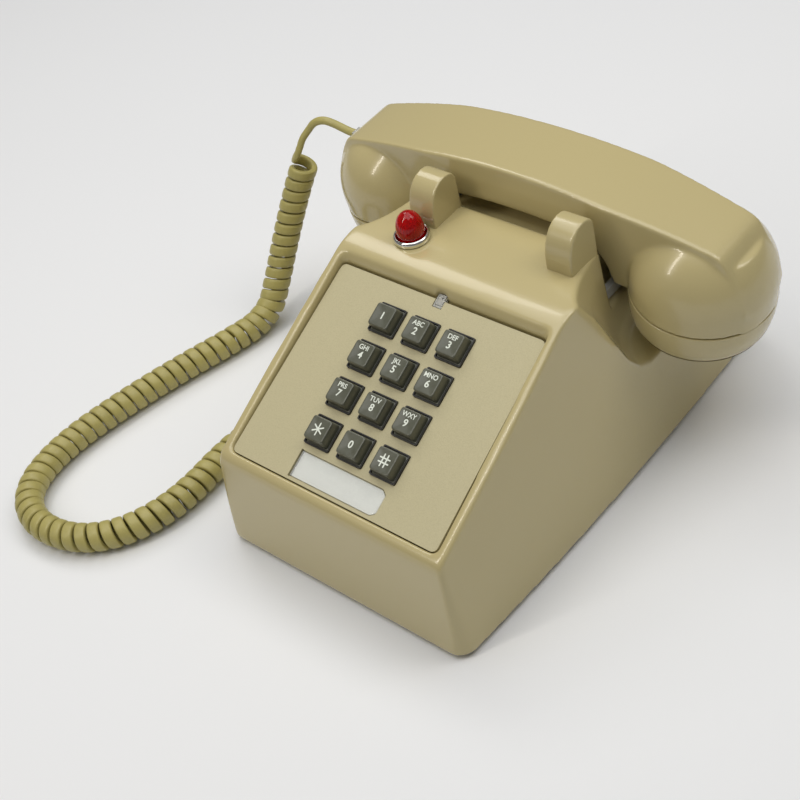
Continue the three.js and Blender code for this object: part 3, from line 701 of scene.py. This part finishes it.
def make_plugs():
    make_handset_socket()
    make_jack("base_socket", "base_jack", BASE_MOUTH, 15.2, 0.3)
    make_jack("line_socket", "line_jack", LINE_MOUTH, 14.6, 0)
    make_contacts("line_socket_contacts", "base", LINE_MOUTH, 3, 12)
    return [
        make_plug("handset_cord_plug", "handset_plug", "handset", HANDSET_MOUTH, 7.2, 16.2, 3.6),
        make_contacts("handset_plug_contacts", "handset", HANDSET_MOUTH, 11.2, 15.9),
        make_plug("base_cord_plug", "base_plug", "base", BASE_MOUTH, -2.2, 11.2, -5.6),
        make_contacts("base_plug_contacts", "base", BASE_MOUTH, 6, 10.9),
    ]


def through(points):
    """A smooth line through the points, as places about CORE_STEP apart."""
    points = [Vector(p) for p in points]
    padded = [2 * points[0] - points[1], *points, 2 * points[-1] - points[-2]]
    line = []
    for i in range(1, len(padded) - 2):
        p0, p1, p2, p3 = padded[i - 1:i + 3]
        d0, d1, d2 = ((b - a).length ** 0.5 for a, b in ((p0, p1), (p1, p2), (p2, p3)))
        m1 = ((p1 - p0) / d0 - (p2 - p0) / (d0 + d1) + (p2 - p1) / d1) * d1
        m2 = ((p2 - p1) / d1 - (p3 - p1) / (d1 + d2) + (p3 - p2) / d2) * d1
        count = max(2, round((p2 - p1).length / CORE_STEP))
        for k in range(count):
            t = k / count
            line.append(
                p1 * (2 * t ** 3 - 3 * t * t + 1) + m1 * (t ** 3 - 2 * t * t + t)
                + p2 * (3 * t * t - 2 * t ** 3) + m2 * (t ** 3 - t * t)
            )
    line.append(points[-1])
    return line


def length_of(line):
    return sum((b - a).length for a, b in zip(line, line[1:]))


def smooth_step(t):
    t = min(max(t, 0.0), 1.0)
    return t * t * (3 - 2 * t)


class Route:
    """Where a line is at each distance along it, which way it heads, and a side that doesn't twist."""

    def __init__(self, line):
        self.line = line
        self.places = [0.0]
        for a, b in zip(line, line[1:]):
            self.places.append(self.places[-1] + (b - a).length)
        last = len(line) - 1
        self.forwards = [(line[min(i + 1, last)] - line[max(i - 1, 0)]).normalized() for i in range(last + 1)]
        side = self.forwards[0].cross(Vector((0, 0, 1))).normalized()
        self.sides = []
        for ahead in self.forwards:
            side = (side - ahead * side.dot(ahead)).normalized()
            self.sides.append(side)
        self.near = 0

    def at(self, mark):
        """The place, heading and side at a distance no shorter than the last one asked for."""
        while self.near < len(self.places) - 2 and self.places[self.near + 1] < mark:
            self.near += 1
        i = self.near
        share = (mark - self.places[i]) / (self.places[i + 1] - self.places[i])
        ahead = self.forwards[i].lerp(self.forwards[i + 1], share).normalized()
        side = self.sides[i].lerp(self.sides[i + 1], share)
        side = (side - ahead * side.dot(ahead)).normalized()
        return self.line[i].lerp(self.line[i + 1], share), ahead, side


def wind(coil, wound):
    """Steps of wire along and round a coil: distances along it, and angles round it."""
    count = round(wound / (2 * pi * TURN_R) * POINTS_PER_TURN)
    step = wound / count
    swing = [smooth_step((min(k, count - 1 - k) + 0.5) * step / SWING) for k in range(count)]
    low, high = 0.0, pi / 2
    while high - low > 1e-9:
        slope = (low + high) / 2
        if sum(cos(slope * s) for s in swing) * step > coil:
            low = slope
        else:
            high = slope
    stops = [(0.0, START_ANGLE, 0.0)]
    for s in swing:
        mark, angle, _ = stops[-1]
        stops.append((mark + cos(slope * s) * step, angle + sin(slope * s) * step / TURN_R, s))
    return stops


def wire_stops(lead, coil, rest):
    """Distance, angle, share of the coil's radius and share of its flatness at each step of wire."""
    stops = []
    for k in range(LEAD_STEPS):
        opening = smooth_step(1 - (1 - k / LEAD_STEPS) * lead / OPENING)
        stops.append((lead * k / LEAD_STEPS, START_ANGLE, opening, 0.0))
    for mark, angle, swing in wind(coil, WIRE_LENGTH / MM - lead - rest):
        stops.append((lead + mark, angle, 1.0, swing))
    last = stops[-1][1]
    for k in range(1, TAIL_STEPS + 1):
        opening = smooth_step(1 - k / TAIL_STEPS * rest / OPENING)
        stops.append((lead + coil + rest * k / TAIL_STEPS, last, opening, 0.0))
    return stops


def wire_skin(path, outs, flats):
    """The wire's mesh: oval in its straight ends, and squarer and wider where it is wound."""
    rings = []
    for i, point in enumerate(path):
        run = (path[min(i + 1, len(path) - 1)] - path[max(i - 1, 0)]).normalized()
        across = run.cross(outs[i]).normalized()
        up = across.cross(run).normalized()
        wide = LEAD_WIDE + (WIRE_WIDE - LEAD_WIDE) * flats[i]
        power = 2 / (2 + 1.6 * flats[i])
        ring = [squarish(2 * pi * (k + 0.5) / WIRE_SIDES, power) for k in range(WIRE_SIDES)]
        rings.append([point + across * (x * wide / 2) + up * (y * WIRE_THICK / 2) for x, y in ring])
    return loft(rings)


def make_cord(on_cord):
    core = through([*LEAD_PATH, *COIL_PATH, *TAIL_PATH])
    lead = length_of(through([*LEAD_PATH, COIL_PATH[0]]))
    coil = length_of(through(COIL_PATH))
    route = Route(core)
    path, outs, flats = [], [], []
    for mark, angle, opening, flat in wire_stops(lead, coil, length_of(core) - lead - coil):
        middle, ahead, side = route.at(mark)
        out = Quaternion(ahead, angle) @ side
        path.append(middle + out * TURN_R * opening)
        outs.append(out)
        flats.append(flat)
    wire = wire_skin(path, outs, flats)
    finish_piece(wire, "handset_cord", None, "cord_plastic", ["cord_lead", "cord_coil", "cord_tail"], 60)
    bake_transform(wire)


make_cord(make_plugs())


# -------- housing
def half_width(y, z, inset):
    return HALF_WIDTH - BOW * (y - WIDEST_AT) ** 2 - z * SIDE_TAPER - inset


def plan_ring(z, inset, corner_steps, side_steps):
    """The plan of the housing at one height, drawn in by inset."""
    front, rear = 8 - inset / 2, 16 - inset / 2
    y0, y1 = inset, DEPTH - inset
    turns = [i / corner_steps * pi / 2 for i in range(corner_steps + 1)]
    right = []
    for t in turns:
        y = y0 + front * (1 - cos(t))
        right.append((half_width(y, z, inset) - front * (1 - sin(t)), y))
    for i in range(1, side_steps):
        y = y0 + front + (y1 - rear - y0 - front) * i / side_steps
        right.append((half_width(y, z, inset), y))
    for t in turns:
        y = y1 - rear * (1 - sin(t))
        right.append((half_width(y, z, inset) - rear * (1 - cos(t)), y))
    left = [(-x, y) for x, y in reversed(right)]
    return [(x, y, z) for x, y in right + left]


def plan_block(inset, z0, z1, corner_steps=12, side_steps=24):
    return loft([plan_ring(z, inset, corner_steps, side_steps) for z in (z0, z1)])


OUTER_PROFILE = [
    (0, TABLE_GAP, 0.5), (5.6, 52, 4.5), (103.6, 100.4, 6), (144.5, DECK_Z, 2.5),
    (148, SADDLE_Z, 2.5), (190.5, SADDLE_Z, 1.5), (193, 97, 2), (205, 97, 8), (217, 60, 26),
    (DEPTH, TABLE_GAP, 0.5),
]
INNER_PROFILE = [
    (2.7, -5), (8.6, 45.7, 3), (108.8, 93.4, 4), (114, DECK_Z - WALL, 2),
    (141.6, DECK_Z - WALL, 2), (145, SADDLE_Z - WALL, 2), (202, SADDLE_Z - WALL, 4),
    (214, 60, 24), (225.3, -5),
]
# height, half width, reach forward, reach back, squareness of each level of a cup hollow
SCOOP_LEVELS = [
    (46, 26, 28, 26, 2.0), (49, 31, 34, 30, 2.1), (56, 32.6, 39, 33, 2.3), (72, 33, 46, 35, 2.6),
    (88, 33, 53, 36, 2.9), (100.5, 33.2, 62, 38, 3.0), (140, 34, 70, 42, 3.0),
]


def scoop(side, grow, steps=96):
    """The hollow that each cup of the handset hangs in, drawn out by the given wall."""
    rings = []
    for level, (z, a, front, back, power) in enumerate(SCOOP_LEVELS):
        ring = []
        for i in range(steps):
            x, y = squarish(2 * pi * i / steps, 2 / power)
            b = (front if y < 0 else back) + grow
            ring.append((side * CUP_X + (a + grow) * x, HANDSET_Y + b * y, z - grow if level == 0 else z))
        rings.append(ring)
    return loft(rings)


def pocket(side, grow):
    x0, x1, y0, y1, floor = POCKET
    return mirrored_box(side, x0 - grow, x1, y0 - grow, y1 + grow, floor - grow, ABOVE)


def carry_recess(grow):
    half, front, low, high = RECESS
    outline = rectangle(-half - grow, half + grow, low - grow, high + grow, 6, 8)
    return along_y(outline, front - grow, BEHIND)


def plate_outline(grow, radius, rise=0.0):
    """The faceplate's outline, drawn out by grow and its top edge also by rise."""
    low, high = PLATE_BOTTOM - grow, PLATE_TOP + grow + rise
    half_low, half_high = PLATE_HALF_BOTTOM + grow, PLATE_HALF_TOP + grow
    return rounded([
        (-half_low, low, radius), (half_low, low, radius),
        (half_high, high, radius), (-half_high, high, radius),
    ])


SEAT_GAP = 0.7
# height over the faceplate, and how far the wall has leant back by there
SEAT_LEVELS = [(-PLATE_THICK - 1.6, 0.0), (0.3, 0.0), (4.0, 4.2), (28.0, 31.5)]


def seat_block():
    """What the faceplate's seat is cut with: its wall leans back above the plate's top edge."""
    rings = [level(plate_outline(SEAT_GAP, 3.4, rise), z) for z, rise in SEAT_LEVELS]
    return moved(loft(rings), IN_PLATE @ Matrix.Translation((0, 0.3, 0)))


def ear(x0, x1, y0, y1, top):
    """An arched block that keeps the handset from sliding off the cradle."""
    run = y1 - y0
    start, peak, end = (y0, max(top - 14, SADDLE_Z)), (y0 + 0.6 * run, top), (y1, top - 6.5)
    rise = bend(start, (y0 + 0.1 * run, top - 0.6), peak)
    fall = bend(peak, (y1, top), end, 8)
    outline = [(y0, SADDLE_Z - 2), start, *rise, *fall, (y1, SADDLE_Z - 2)]
    return moulded(along_x(outline, x0, x1), *EAR_MOULD)


FRONT_EARS = [(34.5, 47.5), (-37.5, -24)]
REAR_EARS = [(34.8, 47.2), (-47.2, -34.8)]


def make_housing():
    outer = common(along_x(rounded(OUTER_PROFILE, 16), -BEYOND, BEYOND), plan_block(0, -2, 145))
    hollows = []
    for side in (-1, 1):
        hollows += [scoop(side, 0), pocket(side, 0)]
    half, low, high = LATCH
    latch_gap = moved(box(-half - 0.5, half + 0.5, low - 0.6, high + 0.3, -PLATE_THICK - 1.6, 8), IN_PLATE)
    cut(outer, *hollows, carry_recess(0), seat_block(), latch_gap)
    moulded(outer, *HOUSING_MOULD)
    ears = [ear(x0, x1, 126, 144.4, 120.5) for x0, x1 in FRONT_EARS]
    ears += [ear(x0, x1, 192.5, 199.5, 101.5) for x0, x1 in REAR_EARS]
    join(outer, *ears)
    inner = common(along_x(rounded(INNER_PROFILE, 6), -BEYOND, BEYOND), plan_block(WALL, -8, 145, 6, 10))
    walls = []
    for side in (-1, 1):
        walls += [scoop(side, WALL, 40), pocket(side, WALL)]
    cut(inner, *walls, carry_recess(WALL))
    through_plate = moved(along_z(plate_outline(-2.6, 2), -20, 10), IN_PLATE)
    openings = [through_plate, rod(*LAMP_AT, 92, 108, LENS_R + 0.4)]
    x0, x1, y0, y1 = STEM
    for side in (-1, 1):
        openings.append(mirrored_box(side, x0 - 0.4, x1 + 0.4, y0 - 0.5, y1 + 0.5, 60, 75))
    half, tall = JACK_HOLE
    y, z = JACK
    openings.append(box(-BEYOND, -60, y - half, y + half, z - tall, z + tall))
    x, z = LINE_JACK
    openings.append(box(x - half, x + half, 215, 235, z - tall, z + tall))
    cut(outer, inner, *openings)
    for x, y, top in SCREWS:
        join(outer, rod(x, y, 4.2, top, 4.2))
        cut(outer, rod(x, y, 3, 20, 1.7))
    finish_piece(outer, "housing", "base", "body_plastic", ["housing_shell"], 50)


# -------- handset
def dome(side):
    """The round upper half of a cup, leaning in."""
    profile = [(0, SEAM_Z), (CUP_R, SEAM_Z), (CUP_R, CUP_DOME_Z)]
    profile += [*arc(CUP_R, CUP_DOME_Z, CUP_R, 24), (0, CUP_DOME_Z + CUP_R)]
    return moved(turned(profile, side * CUP_X, HANDSET_Y, 128), in_cup(side))


SQUARE_END = 113              # how far out the square ends are
# height, and how square the handle's ends have become by there
TAPER_LEVELS = [
    (55, 0.0), (72, 0.0), (76, 0.08), (81, 0.28), (86, 0.52), (91, 0.76), (96, 0.94), (100, 1.0), (130, 1.0),
]


def end_taper():
    """Everything within the cups at their seams, and within the handle's square ends at its top."""
    rings = []
    for z, share in TAPER_LEVELS:
        end = []
        for k in range(25):
            across = (k / 12 - 1) * 26
            reach = CUP_X + sqrt(CUP_R ** 2 - across ** 2)
            end.append((reach + (SQUARE_END - reach) * share, across))
        ring = end + [(-x, -across) for x, across in end]
        rings.append([(x, HANDSET_Y + across, z) for x, across in ring])
    return loft(rings)


def make_handle():
    y = HANDSET_Y
    section = [
        (y - 18, 122), (y - 20.5, 104), (y - 20.5, 70), (y + 20.5, 70), (y + 20.5, 104), (y + 18, 122),
    ]
    front = [(-112, -14.6), (-97, -15.2), (-40, -19.4, 20), (40, -19.4, 20), (97, -15.2), (112, -14.6)]
    rear = [(p[0], -p[1], *p[2:]) for p in reversed(front)]
    plan = rounded([(p[0], y + p[1], *p[2:]) for p in front + rear], 12)
    handle = along_y(handle_outline(), y - 25, y + 25)
    common(handle, along_x(section, -PAST_ENDS, PAST_ENDS), along_z(plan, 60, 130), end_taper())
    for side in (-1, 1):
        roof = along_y(handle_outline(), y - 40, y + 40)
        join(roof, box(-PAST_ENDS, PAST_ENDS, y - 40, y + 40, 60, 101))
        join(handle, common(dome(side), roof))
    moulded(handle, *HANDLE_MOULD)
    for side in (-1, 1):
        x = side * CUP_X
        below = moved(box(x - 50, x + 50, y - 50, y + 50, 40, SEAM_Z), in_cup(side))
        hollow = moved(rod(x, y, 60, 88, 27.3, 96), in_cup(side))
        cut(handle, below, hollow)
    x, y, z = EXIT
    cut(handle, box(-PAST_ENDS, -92.4, y - 6.35, y + 6.35, z - 5.35, z + 5.35))
    finish_piece(handle, "handset_grip", "handset", "body_plastic", ["handset_handle"], 50)


def fillet(profile, steps=6):
    """A turned profile with its corners rounded where a third value gives a radius."""
    return [(p.x, p.y) for p in rounded(profile, steps)]


def make_cap(side, name, holes):
    """A screw cap with a crowned face and rings of sound holes, given as radius and count."""
    z = SEAM_Z - 0.3
    f = CAP_FACE_Z
    profile = fillet([
        (0, f), (15, f + 0.3, 3), (23.6, f + 2.2, 6), (28.6, f + 7.4, 4), (30.5, f + 13.5, 4),
        (CUP_R, f + 19, 2), (CUP_R, z, 0.45), (26.9, z), (26.9, 80), (24.4, 80),
        (24.4, f + 6.5), (20, f + 4), (14, f + 2.9), (0, f + 2.6),
    ])
    made = turned(profile, side * CUP_X, HANDSET_Y, 128)
    hole = [(0, f - 2), (1.9, f - 2), (1.9, f), (1.15, f + 0.75), (1.15, f + 5.4), (0, f + 5.4)]
    for r, count in holes:
        for i in range(count):
            t = 2 * pi * i / count
            cut(made, turned(hole, side * CUP_X + r * cos(t), HANDSET_Y + r * sin(t), 20))
    moved(made, in_cup(side))
    finish_piece(made, name + "_shell", "handset", "body_plastic", [name], 30)


# -------- faceplate and keypad
def key_places():
    names = ["1", "2", "3", "4", "5", "6", "7", "8", "9", "star", "0", "hash"]
    for i, name in enumerate(names):
        yield name, (i % 3 - 1) * PITCH, (1.5 - i // 3) * PITCH


def square(half, corner, segments=5):
    return rectangle(-half, half, -half, half, corner, segments)


def card_outline(grow):
    """The number card's outline, drawn out by grow: its right corners are cut off."""
    u0, u1, v0, v1 = CARD[0] - grow, CARD[1] + grow, CARD[2] - grow, CARD[3] + grow
    return rounded([
        (u0, v0, 0.3), (u1 - 2.4, v0, 0.5), (u1, v0 + 1.8, 0.8),
        (u1, v1 - 1.8, 0.8), (u1 - 2.4, v1, 0.5), (u0, v1, 0.3),
    ], 4)


def make_faceplate():
    plate = along_z(plate_outline(0, 3), -PLATE_THICK, 0)
    for _, u, v in key_places():
        cut(plate, along_z(shifted(square(WELL / 2, 0.9), u, v), -5, 5))
    cut(plate, along_z(card_outline(0.25), -1.6, 3))
    u0, _, v0, v1 = CARD
    cut(plate, box(u0 - 0.95, u0 + 0.1, v0 - 0.5, v1 + 0.5, -5, 3))
    half, low, _ = LATCH
    cut(plate, box(-half - 0.3, half + 0.3, low - 0.3, 50, -5, 5))
    bevelled(plate, 0.32, 3)
    moved(plate, IN_PLATE)
    finish_piece(plate, "faceplate_panel", "base", "faceplate_plastic", ["faceplate"], 35)


def make_keypad_body():
    """The black guide under the faceplate, with a raised collar round each key."""
    body = box(-29.5, 29.5, -36.4, 36.4, -10.1, -PLATE_THICK - 0.3)
    for _, u, v in key_places():
        join(body, along_z(shifted(square(WELL / 2 - 0.08, 0.85), u, v), -3, 1))
        cut(body, along_z(shifted(square(KEY_BASE / 2 - 0.1, 0.7), u, v), -20, 5))
    moved(body, IN_PLATE)
    finish_piece(body, "keypad_guide", "base", "black_plastic", ["keypad_body"], 35)


KEY_DISH = 0.35
STROKE = 0.62
LETTERS = dict(zip("23456789", ("ABC", "DEF", "GHI", "JKL", "MNO", "PRS", "TUV", "WXY")))


def dish(u, v):
    """Height of a key's hollowed top."""
    reach = KEY_TOP / 2
    return KEY_RISE - KEY_DISH * max(0.0, 1 - (u / reach) ** 2) * max(0.0, 1 - (v / reach) ** 2)


def text_mesh(text, size, u, v):
    """Raised figures, centred on (u, v)."""
    curve = assign(
        bpy.data.curves.new("figure", "FONT"), body=text, size=size, align_x="CENTER", align_y="CENTER",
        extrude=0.1, offset=0.02 * size, resolution_u=4,
    )
    made = linked("figure", curve)
    bpy.context.view_layer.update()
    mesh = bpy.data.meshes.new_from_object(made.evaluated_get(bpy.context.evaluated_depsgraph_get()))
    bpy.data.objects.remove(made)
    bpy.data.curves.remove(curve)
    return moved(linked("figure", mesh), Matrix.Translation((u, v, 0)))


def bar(u0, v0, u1, v1):
    """A round-ended stroke between two points."""
    a, b = Vector((u0, v0)), Vector((u1, v1))
    ahead = (b - a).normalized() * STROKE / 2
    across = Vector((-ahead.y, ahead.x))
    outline = []
    for end, sign in ((b, 1), (a, -1)):
        for k in range(7):
            t = pi * (k / 6 - 0.5)
            outline.append(end + sign * (ahead * cos(t) + across * sin(t)))
    return along_z(outline, -0.1, 0.1)


def figures(name):
    if name == "star":
        reach = 2.7
        strokes = []
        for k in range(3):
            t = radians(90 + 60 * k)
            c, s = reach * cos(t), reach * sin(t)
            strokes.append(bar(-c, -s, c, s))
        return strokes
    if name == "hash":
        strokes = [bar(-2.5, v, 2.5, v) for v in (-0.95, 0.95)]
        return strokes + [bar(u, -2.6, u, 2.6) for u in (-0.95, 0.95)]
    if name in LETTERS:
        return [text_mesh(LETTERS[name], 3.0, 0, 2.7), text_mesh(name, 4.5, 0, -0.9)]
    return [text_mesh(name, 4.6, 0, 0)]


def make_key(name, u, v):
    """A square key with sloping hollow skirts and a dished top, and its raised figures."""
    half, top = KEY_BASE / 2, KEY_TOP / 2
    levels = [
        (half - 0.25, KEY_ROOT, 0.7), (half - 0.25, 0.2, 0.7), (half - 0.4, 0.4, 0.75),
        (half - 0.72, 0.45, 0.9), (half - 0.8, 0.7, 1.0), (top + 0.44, 3.0, 1.15),
        (top + 0.24, KEY_RISE - 0.9, 1.25), (top + 0.14, KEY_RISE - 0.42, 1.3),
        (top - 0.02, KEY_RISE - 0.14, 1.3), (top - 0.26, KEY_RISE - 0.02, 1.3),
    ]
    rings = [level(square(reach, corner, 6), z) for reach, z, corner in levels]
    for k in range(9, 0, -1):
        ring = square(top * k / 10, 1.25 * k / 10, 6)
        rings.append([(p.x, p.y, dish(p.x, p.y)) for p in ring])
    key = loft(rings)
    key.data.materials.append(LOOKS["key_plastic"])
    key.data.materials.append(LOOKS["key_figures"])
    parts = figures(name)
    for part in parts:
        for vertex in part.data.vertices:
            vertex.co.z = dish(vertex.co.x, vertex.co.y) + (0.07 if vertex.co.z > 0 else -0.15)
    bm = bmesh.new()
    bm.from_mesh(key.data)
    for part in parts:
        before = len(bm.faces)
        bm.from_mesh(part.data)
        bm.faces.ensure_lookup_table()
        for face in bm.faces[before:]:
            face.material_index = 1
    bm.to_mesh(key.data)
    bm.free()
    drop(*parts)
    moved(key, IN_PLATE @ Matrix.Translation((u, v, 0)))
    indices = [p.material_index for p in key.data.polygons]
    node = "key_" + name
    finish_piece(key, node + "_top", node + "_cap", "key_plastic", [node], 32, ["key_plastic", "key_figures"])
    key.data.polygons.foreach_set("material_index", indices)


make_housing()
make_handle()
make_cap(-1, "transmitter_cap", [(0, 1), (6, 6)])
make_cap(1, "receiver_cap", [(0, 1), (5, 6), (10, 12)])
make_faceplate()
make_keypad_body()
for key_name, key_u, key_v in key_places():
    make_key(key_name, key_u, key_v)


# -------- number card and latch
def make_card():
    u0, _, v0, v1 = CARD
    card = bevelled(along_z(card_outline(-0.25), -1.4, -0.95), 0.08, 2)
    moved(card, IN_PLATE)
    finish_piece(card, "number_card_paper", "base", "card", ["number_card"])
    window = along_z(card_outline(-0.05), -0.68, 0.12)
    cut(window, box(u0 + 1.5, u0 + 1.85, v0 - 1, v1 + 1, -0.2, 1))
    bevelled(window, 0.22, 2)
    moved(window, IN_PLATE)
    finish_piece(window, "number_window", "base", "clear_plastic", ["card_window"], looks=["clear_sheet"])


def make_latch():
    """The clear catch at the top of the faceplate, with a finger tab and a slot."""
    h, v0, v1 = LATCH
    latch = box(-h, h, v0, v1, -PLATE_THICK, -0.15)
    join(latch, box(-h + 0.9, h - 0.1, v0 + 1.1, v1 - 0.1, -0.5, 0.2))
    groove = box(-h + 0.55, -h + 0.95, v0 + 0.8, v1 + 1, -1.2, 1)
    slot = box(0.5, 1.1, v1 - 2.1, v1 - 1.2, -1, 1)
    cut(latch, groove, slot)
    bevelled(latch, 0.12, 2)
    moved(latch, IN_PLATE)
    finish_piece(latch, "latch_tab", "base", "clear_plastic", ["faceplate_latch"], 35)


# -------- lamp
LENS_FLUTES = 18


def make_lens():
    """The round-topped red lens, fluted on its inside."""
    (x, y), r = LAMP_AT, LENS_R
    top = DECK_Z + LENS_HEIGHT
    rise = 8.5
    straight = top - rise
    profile = [(0, 93), (r - 0.25, 93), (r, 93.3), (r, straight), *arc(r, straight, rise, 20), (0, top)]
    lens = turned(profile, x, y, 96)
    inside = straight - 0.4
    rings = []
    for share, z in [(1, 92), (1, inside), *arc(1, inside, rise - 1.1, 12)]:
        ring = []
        for i in range(LENS_FLUTES * 8):
            t = 2 * pi * i / (LENS_FLUTES * 8)
            reach = (r - 1.35) * share + 0.34 * share * abs(cos(LENS_FLUTES * t / 2))
            ring.append((x + reach * cos(t), y + reach * sin(t), z))
        rings.append(ring)
    cut(lens, loft(rings))
    finish_piece(lens, "message_lamp_lens", "base", "red_lens", ["lamp_lens"], 50)


def make_bezel():
    z = DECK_Z + 0.3
    inner = LENS_R + 0.3
    outer = BEZEL_R
    profile = fillet([
        (inner, z), (outer - 0.15, z), (outer, z + 0.15), (outer, z + 1.5, 0.3),
        (outer - 0.45, z + 2.35, 0.5), (outer - 1.15, z + 2.6, 0.4), (inner, z + 1.7),
    ], 4)
    bezel = turned(profile, *LAMP_AT, 96)
    finish_piece(bezel, "message_lamp_bezel", "base", "chrome_trim", ["lamp_bezel"], 50)


def make_bulb():
    glass = turned([
        (0, 99.5), (2.2, 99.5), (2.5, 100), (2.85, 101.6), (2.9, 104), (2.6, 105.7), (1.9, 107),
        (1, 107.7), (0, 107.8),
    ], *LAMP_AT, 48)
    sleeve = turned([
        (0, 92), (2.2, 92), (2.2, 98.6), (2.35, 98.8), (2.35, 99.2), (1.9, 99.5), (0, 99.5),
    ], *LAMP_AT, 48)
    finish_piece(glass, "lamp_bulb_glass", "base", "clear_plastic", ["lamp_bulb"])
    finish_piece(sleeve, "lamp_bulb_sleeve", "base", "steel")


# -------- cradle
def make_plunger(side, name):
    """The clear bar that the handset presses, moulded with its stem."""
    x0, x1, y0, y1 = STEM
    _, _, front, rear, _ = POCKET
    paddle = rounded([(160, 71, 0.4), (178, 71, 0.4), (178, 90.2, 3.2), (160, 90.2, 3.2)], 6)
    plunger = along_x(paddle, *sorted((side * x0, side * x1)))
    join(plunger, mirrored_box(side, x1 - 0.1, 46.6, front + 0.5, rear - 0.5, 71, 76))
    join(plunger, mirrored_box(side, x0, x1, y0, y1, 56, 72))
    cut(plunger, mirrored_box(side, x0 - 1, x0 + 1.2, 163, 175, 76, 86))
    bevelled(plunger, 0.45, 3)
    finish_piece(plunger, name + "_bar", name + "_body", "clear_plastic", [name], 35)


# -------- underside
FEET = {"front_left": (-54, 20), "front_right": (54, 20), "rear_left": (-54, 206), "rear_right": (54, 206)}
VENT_ROWS = (150, 166)
VENTS_IN_ROW = 9
VENT_PITCH = 7.0


def make_feet():
    profile = fillet([
        (0, 0.35), (3.4, 0.35), (3.7, 0, 0.1), (6.4, 0, 0.3), (7.4, 0.7, 0.4), (7.4, 2), (0, 2),
    ], 4)
    for place, (x, y) in FEET.items():
        foot = turned(profile, x, y, 64)
        finish_piece(foot, "rubber_foot_" + place, "base", "rubber_feet", ["foot_" + place])


def make_base_plate():
    """A pressed steel floor with stiffening ribs and vents, and holes for its two screws."""
    low, high = 0, 6
    plate = common(plan_block(WALL + 0.6, 2.3, 3.8), box(-BEYOND, BEYOND, 4.9, 222.4, low, high))
    for x, y, _ in SCREWS:
        cut(plate, rod(x, y, low, high, 2.1))
    cut(plate, box(37.6, 42.4, 97, 115, low, high))
    for y in VENT_ROWS:
        for i in range(VENTS_IN_ROW):
            x = (i - (VENTS_IN_ROW - 1) / 2) * VENT_PITCH
            cut(plate, along_z(rectangle(x - 1.1, x + 1.1, y - 5.5, y + 5.5, 1, 4), low, high))
    for x in (-30, 30):
        cut(plate, along_z(rectangle(x - 3, x + 3, 40, 92, 2.5, 4), 1.8, 2.8))
    bevelled(plate, 0.25, 2)
    finish_piece(plate, "base_floor", "base", "steel", ["base_plate"], 35)


def make_screws():
    profile = [
        (0, 0.7), (2.7, 0.7), (3.15, 0.9), (3.4, 1.35), (3.4, 2), (1.4, 2), (1.4, 15.6), (0.3, 16.9), (0, 17),
    ]
    for end, (x, y, _) in zip(("front", "rear"), SCREWS):
        screw = turned(profile, x, y, 48)
        cut(screw, box(x - 4, x + 4, y - 0.4, y + 0.4, 0.2, 1.5))
        finish_piece(screw, "slotted_screw_" + end, "base", "steel", ["housing_screw_" + end], 35)


make_card()
make_latch()
make_lens()
make_bezel()
make_bulb()
make_plunger(1, "plunger_right")
make_plunger(-1, "plunger_left")
make_feet()
make_base_plate()
make_screws()


# -------- stage
COOL, NEUTRAL, WARM = (0.97, 0.985, 1.0), (1.0, 0.97, 0.92), (1.0, 0.93, 0.82)
# place, width, length, watts, colour
LIGHTS = {
    "overhead": ((0.0, 0.1, 1.25), 1.4, 1.4, 11.4, COOL),
    "window_strip": ((-0.38, -0.745, 0.996), 0.085, 0.95, 3.6, WARM),
    "side_light": ((-0.75, 0.35, 1.0), 0.4, 0.4, 2.0, NEUTRAL),
    "right_fill": ((0.6, 0.45, 1.0), 0.5, 0.5, 2.1, WARM),
}
LIGHTS_AIM = Vector((0, 0, 0.06))
FLOOR_DROP = 0.0002


def make_floor():
    floor = new_object("floor", [(-4, -4, 0), (4, -4, 0), (4, 4, 0), (-4, 4, 0)], [(0, 1, 2, 3)])
    look = Look("floor_paint", (0.8, 0.812, 0.835), 0.7)
    look.mottle((3, 2), (0.79, 0.802, 0.825), 0.5)
    floor.data.materials.append(look.material)
    floor.location.z = -FLOOR_DROP


def make_light(name, place, wide, tall, power, color):
    data = bpy.data.lights.new(name, "AREA")
    assign(data, shape="RECTANGLE", size=wide, size_y=tall, energy=power, color=color)
    turn = (LIGHTS_AIM - Vector(place)).to_track_quat("-Z", "Y").to_euler()
    assign(linked(name, data), location=place, rotation_euler=turn)


def make_world():
    world = bpy.data.worlds.new("studio")
    world.use_nodes = True
    background = world.node_tree.nodes["Background"]
    background.inputs["Color"].default_value = (1.0, 0.975, 0.93, 1)
    background.inputs["Strength"].default_value = 0.17
    scene.world = world
    scene.view_settings.view_transform = "Standard"


make_floor()
for light_name, light_facts in LIGHTS.items():
    make_light(light_name, *light_facts)
make_world()


# -------- what stays as the frame has it
def finish_nodes():
    slots = {part["node"]: part["material_slot"] for part in frame["record"]["subparts"]}
    for name, made in nodes.items():
        if made.hide_render:
            continue
        made.data.materials.clear()
        made.data.materials.append(LOOKS[slots[name]])
        add_bevel(made, 0.18 * MM, 2, 35)
        shade(made, 35)


finish_nodes()
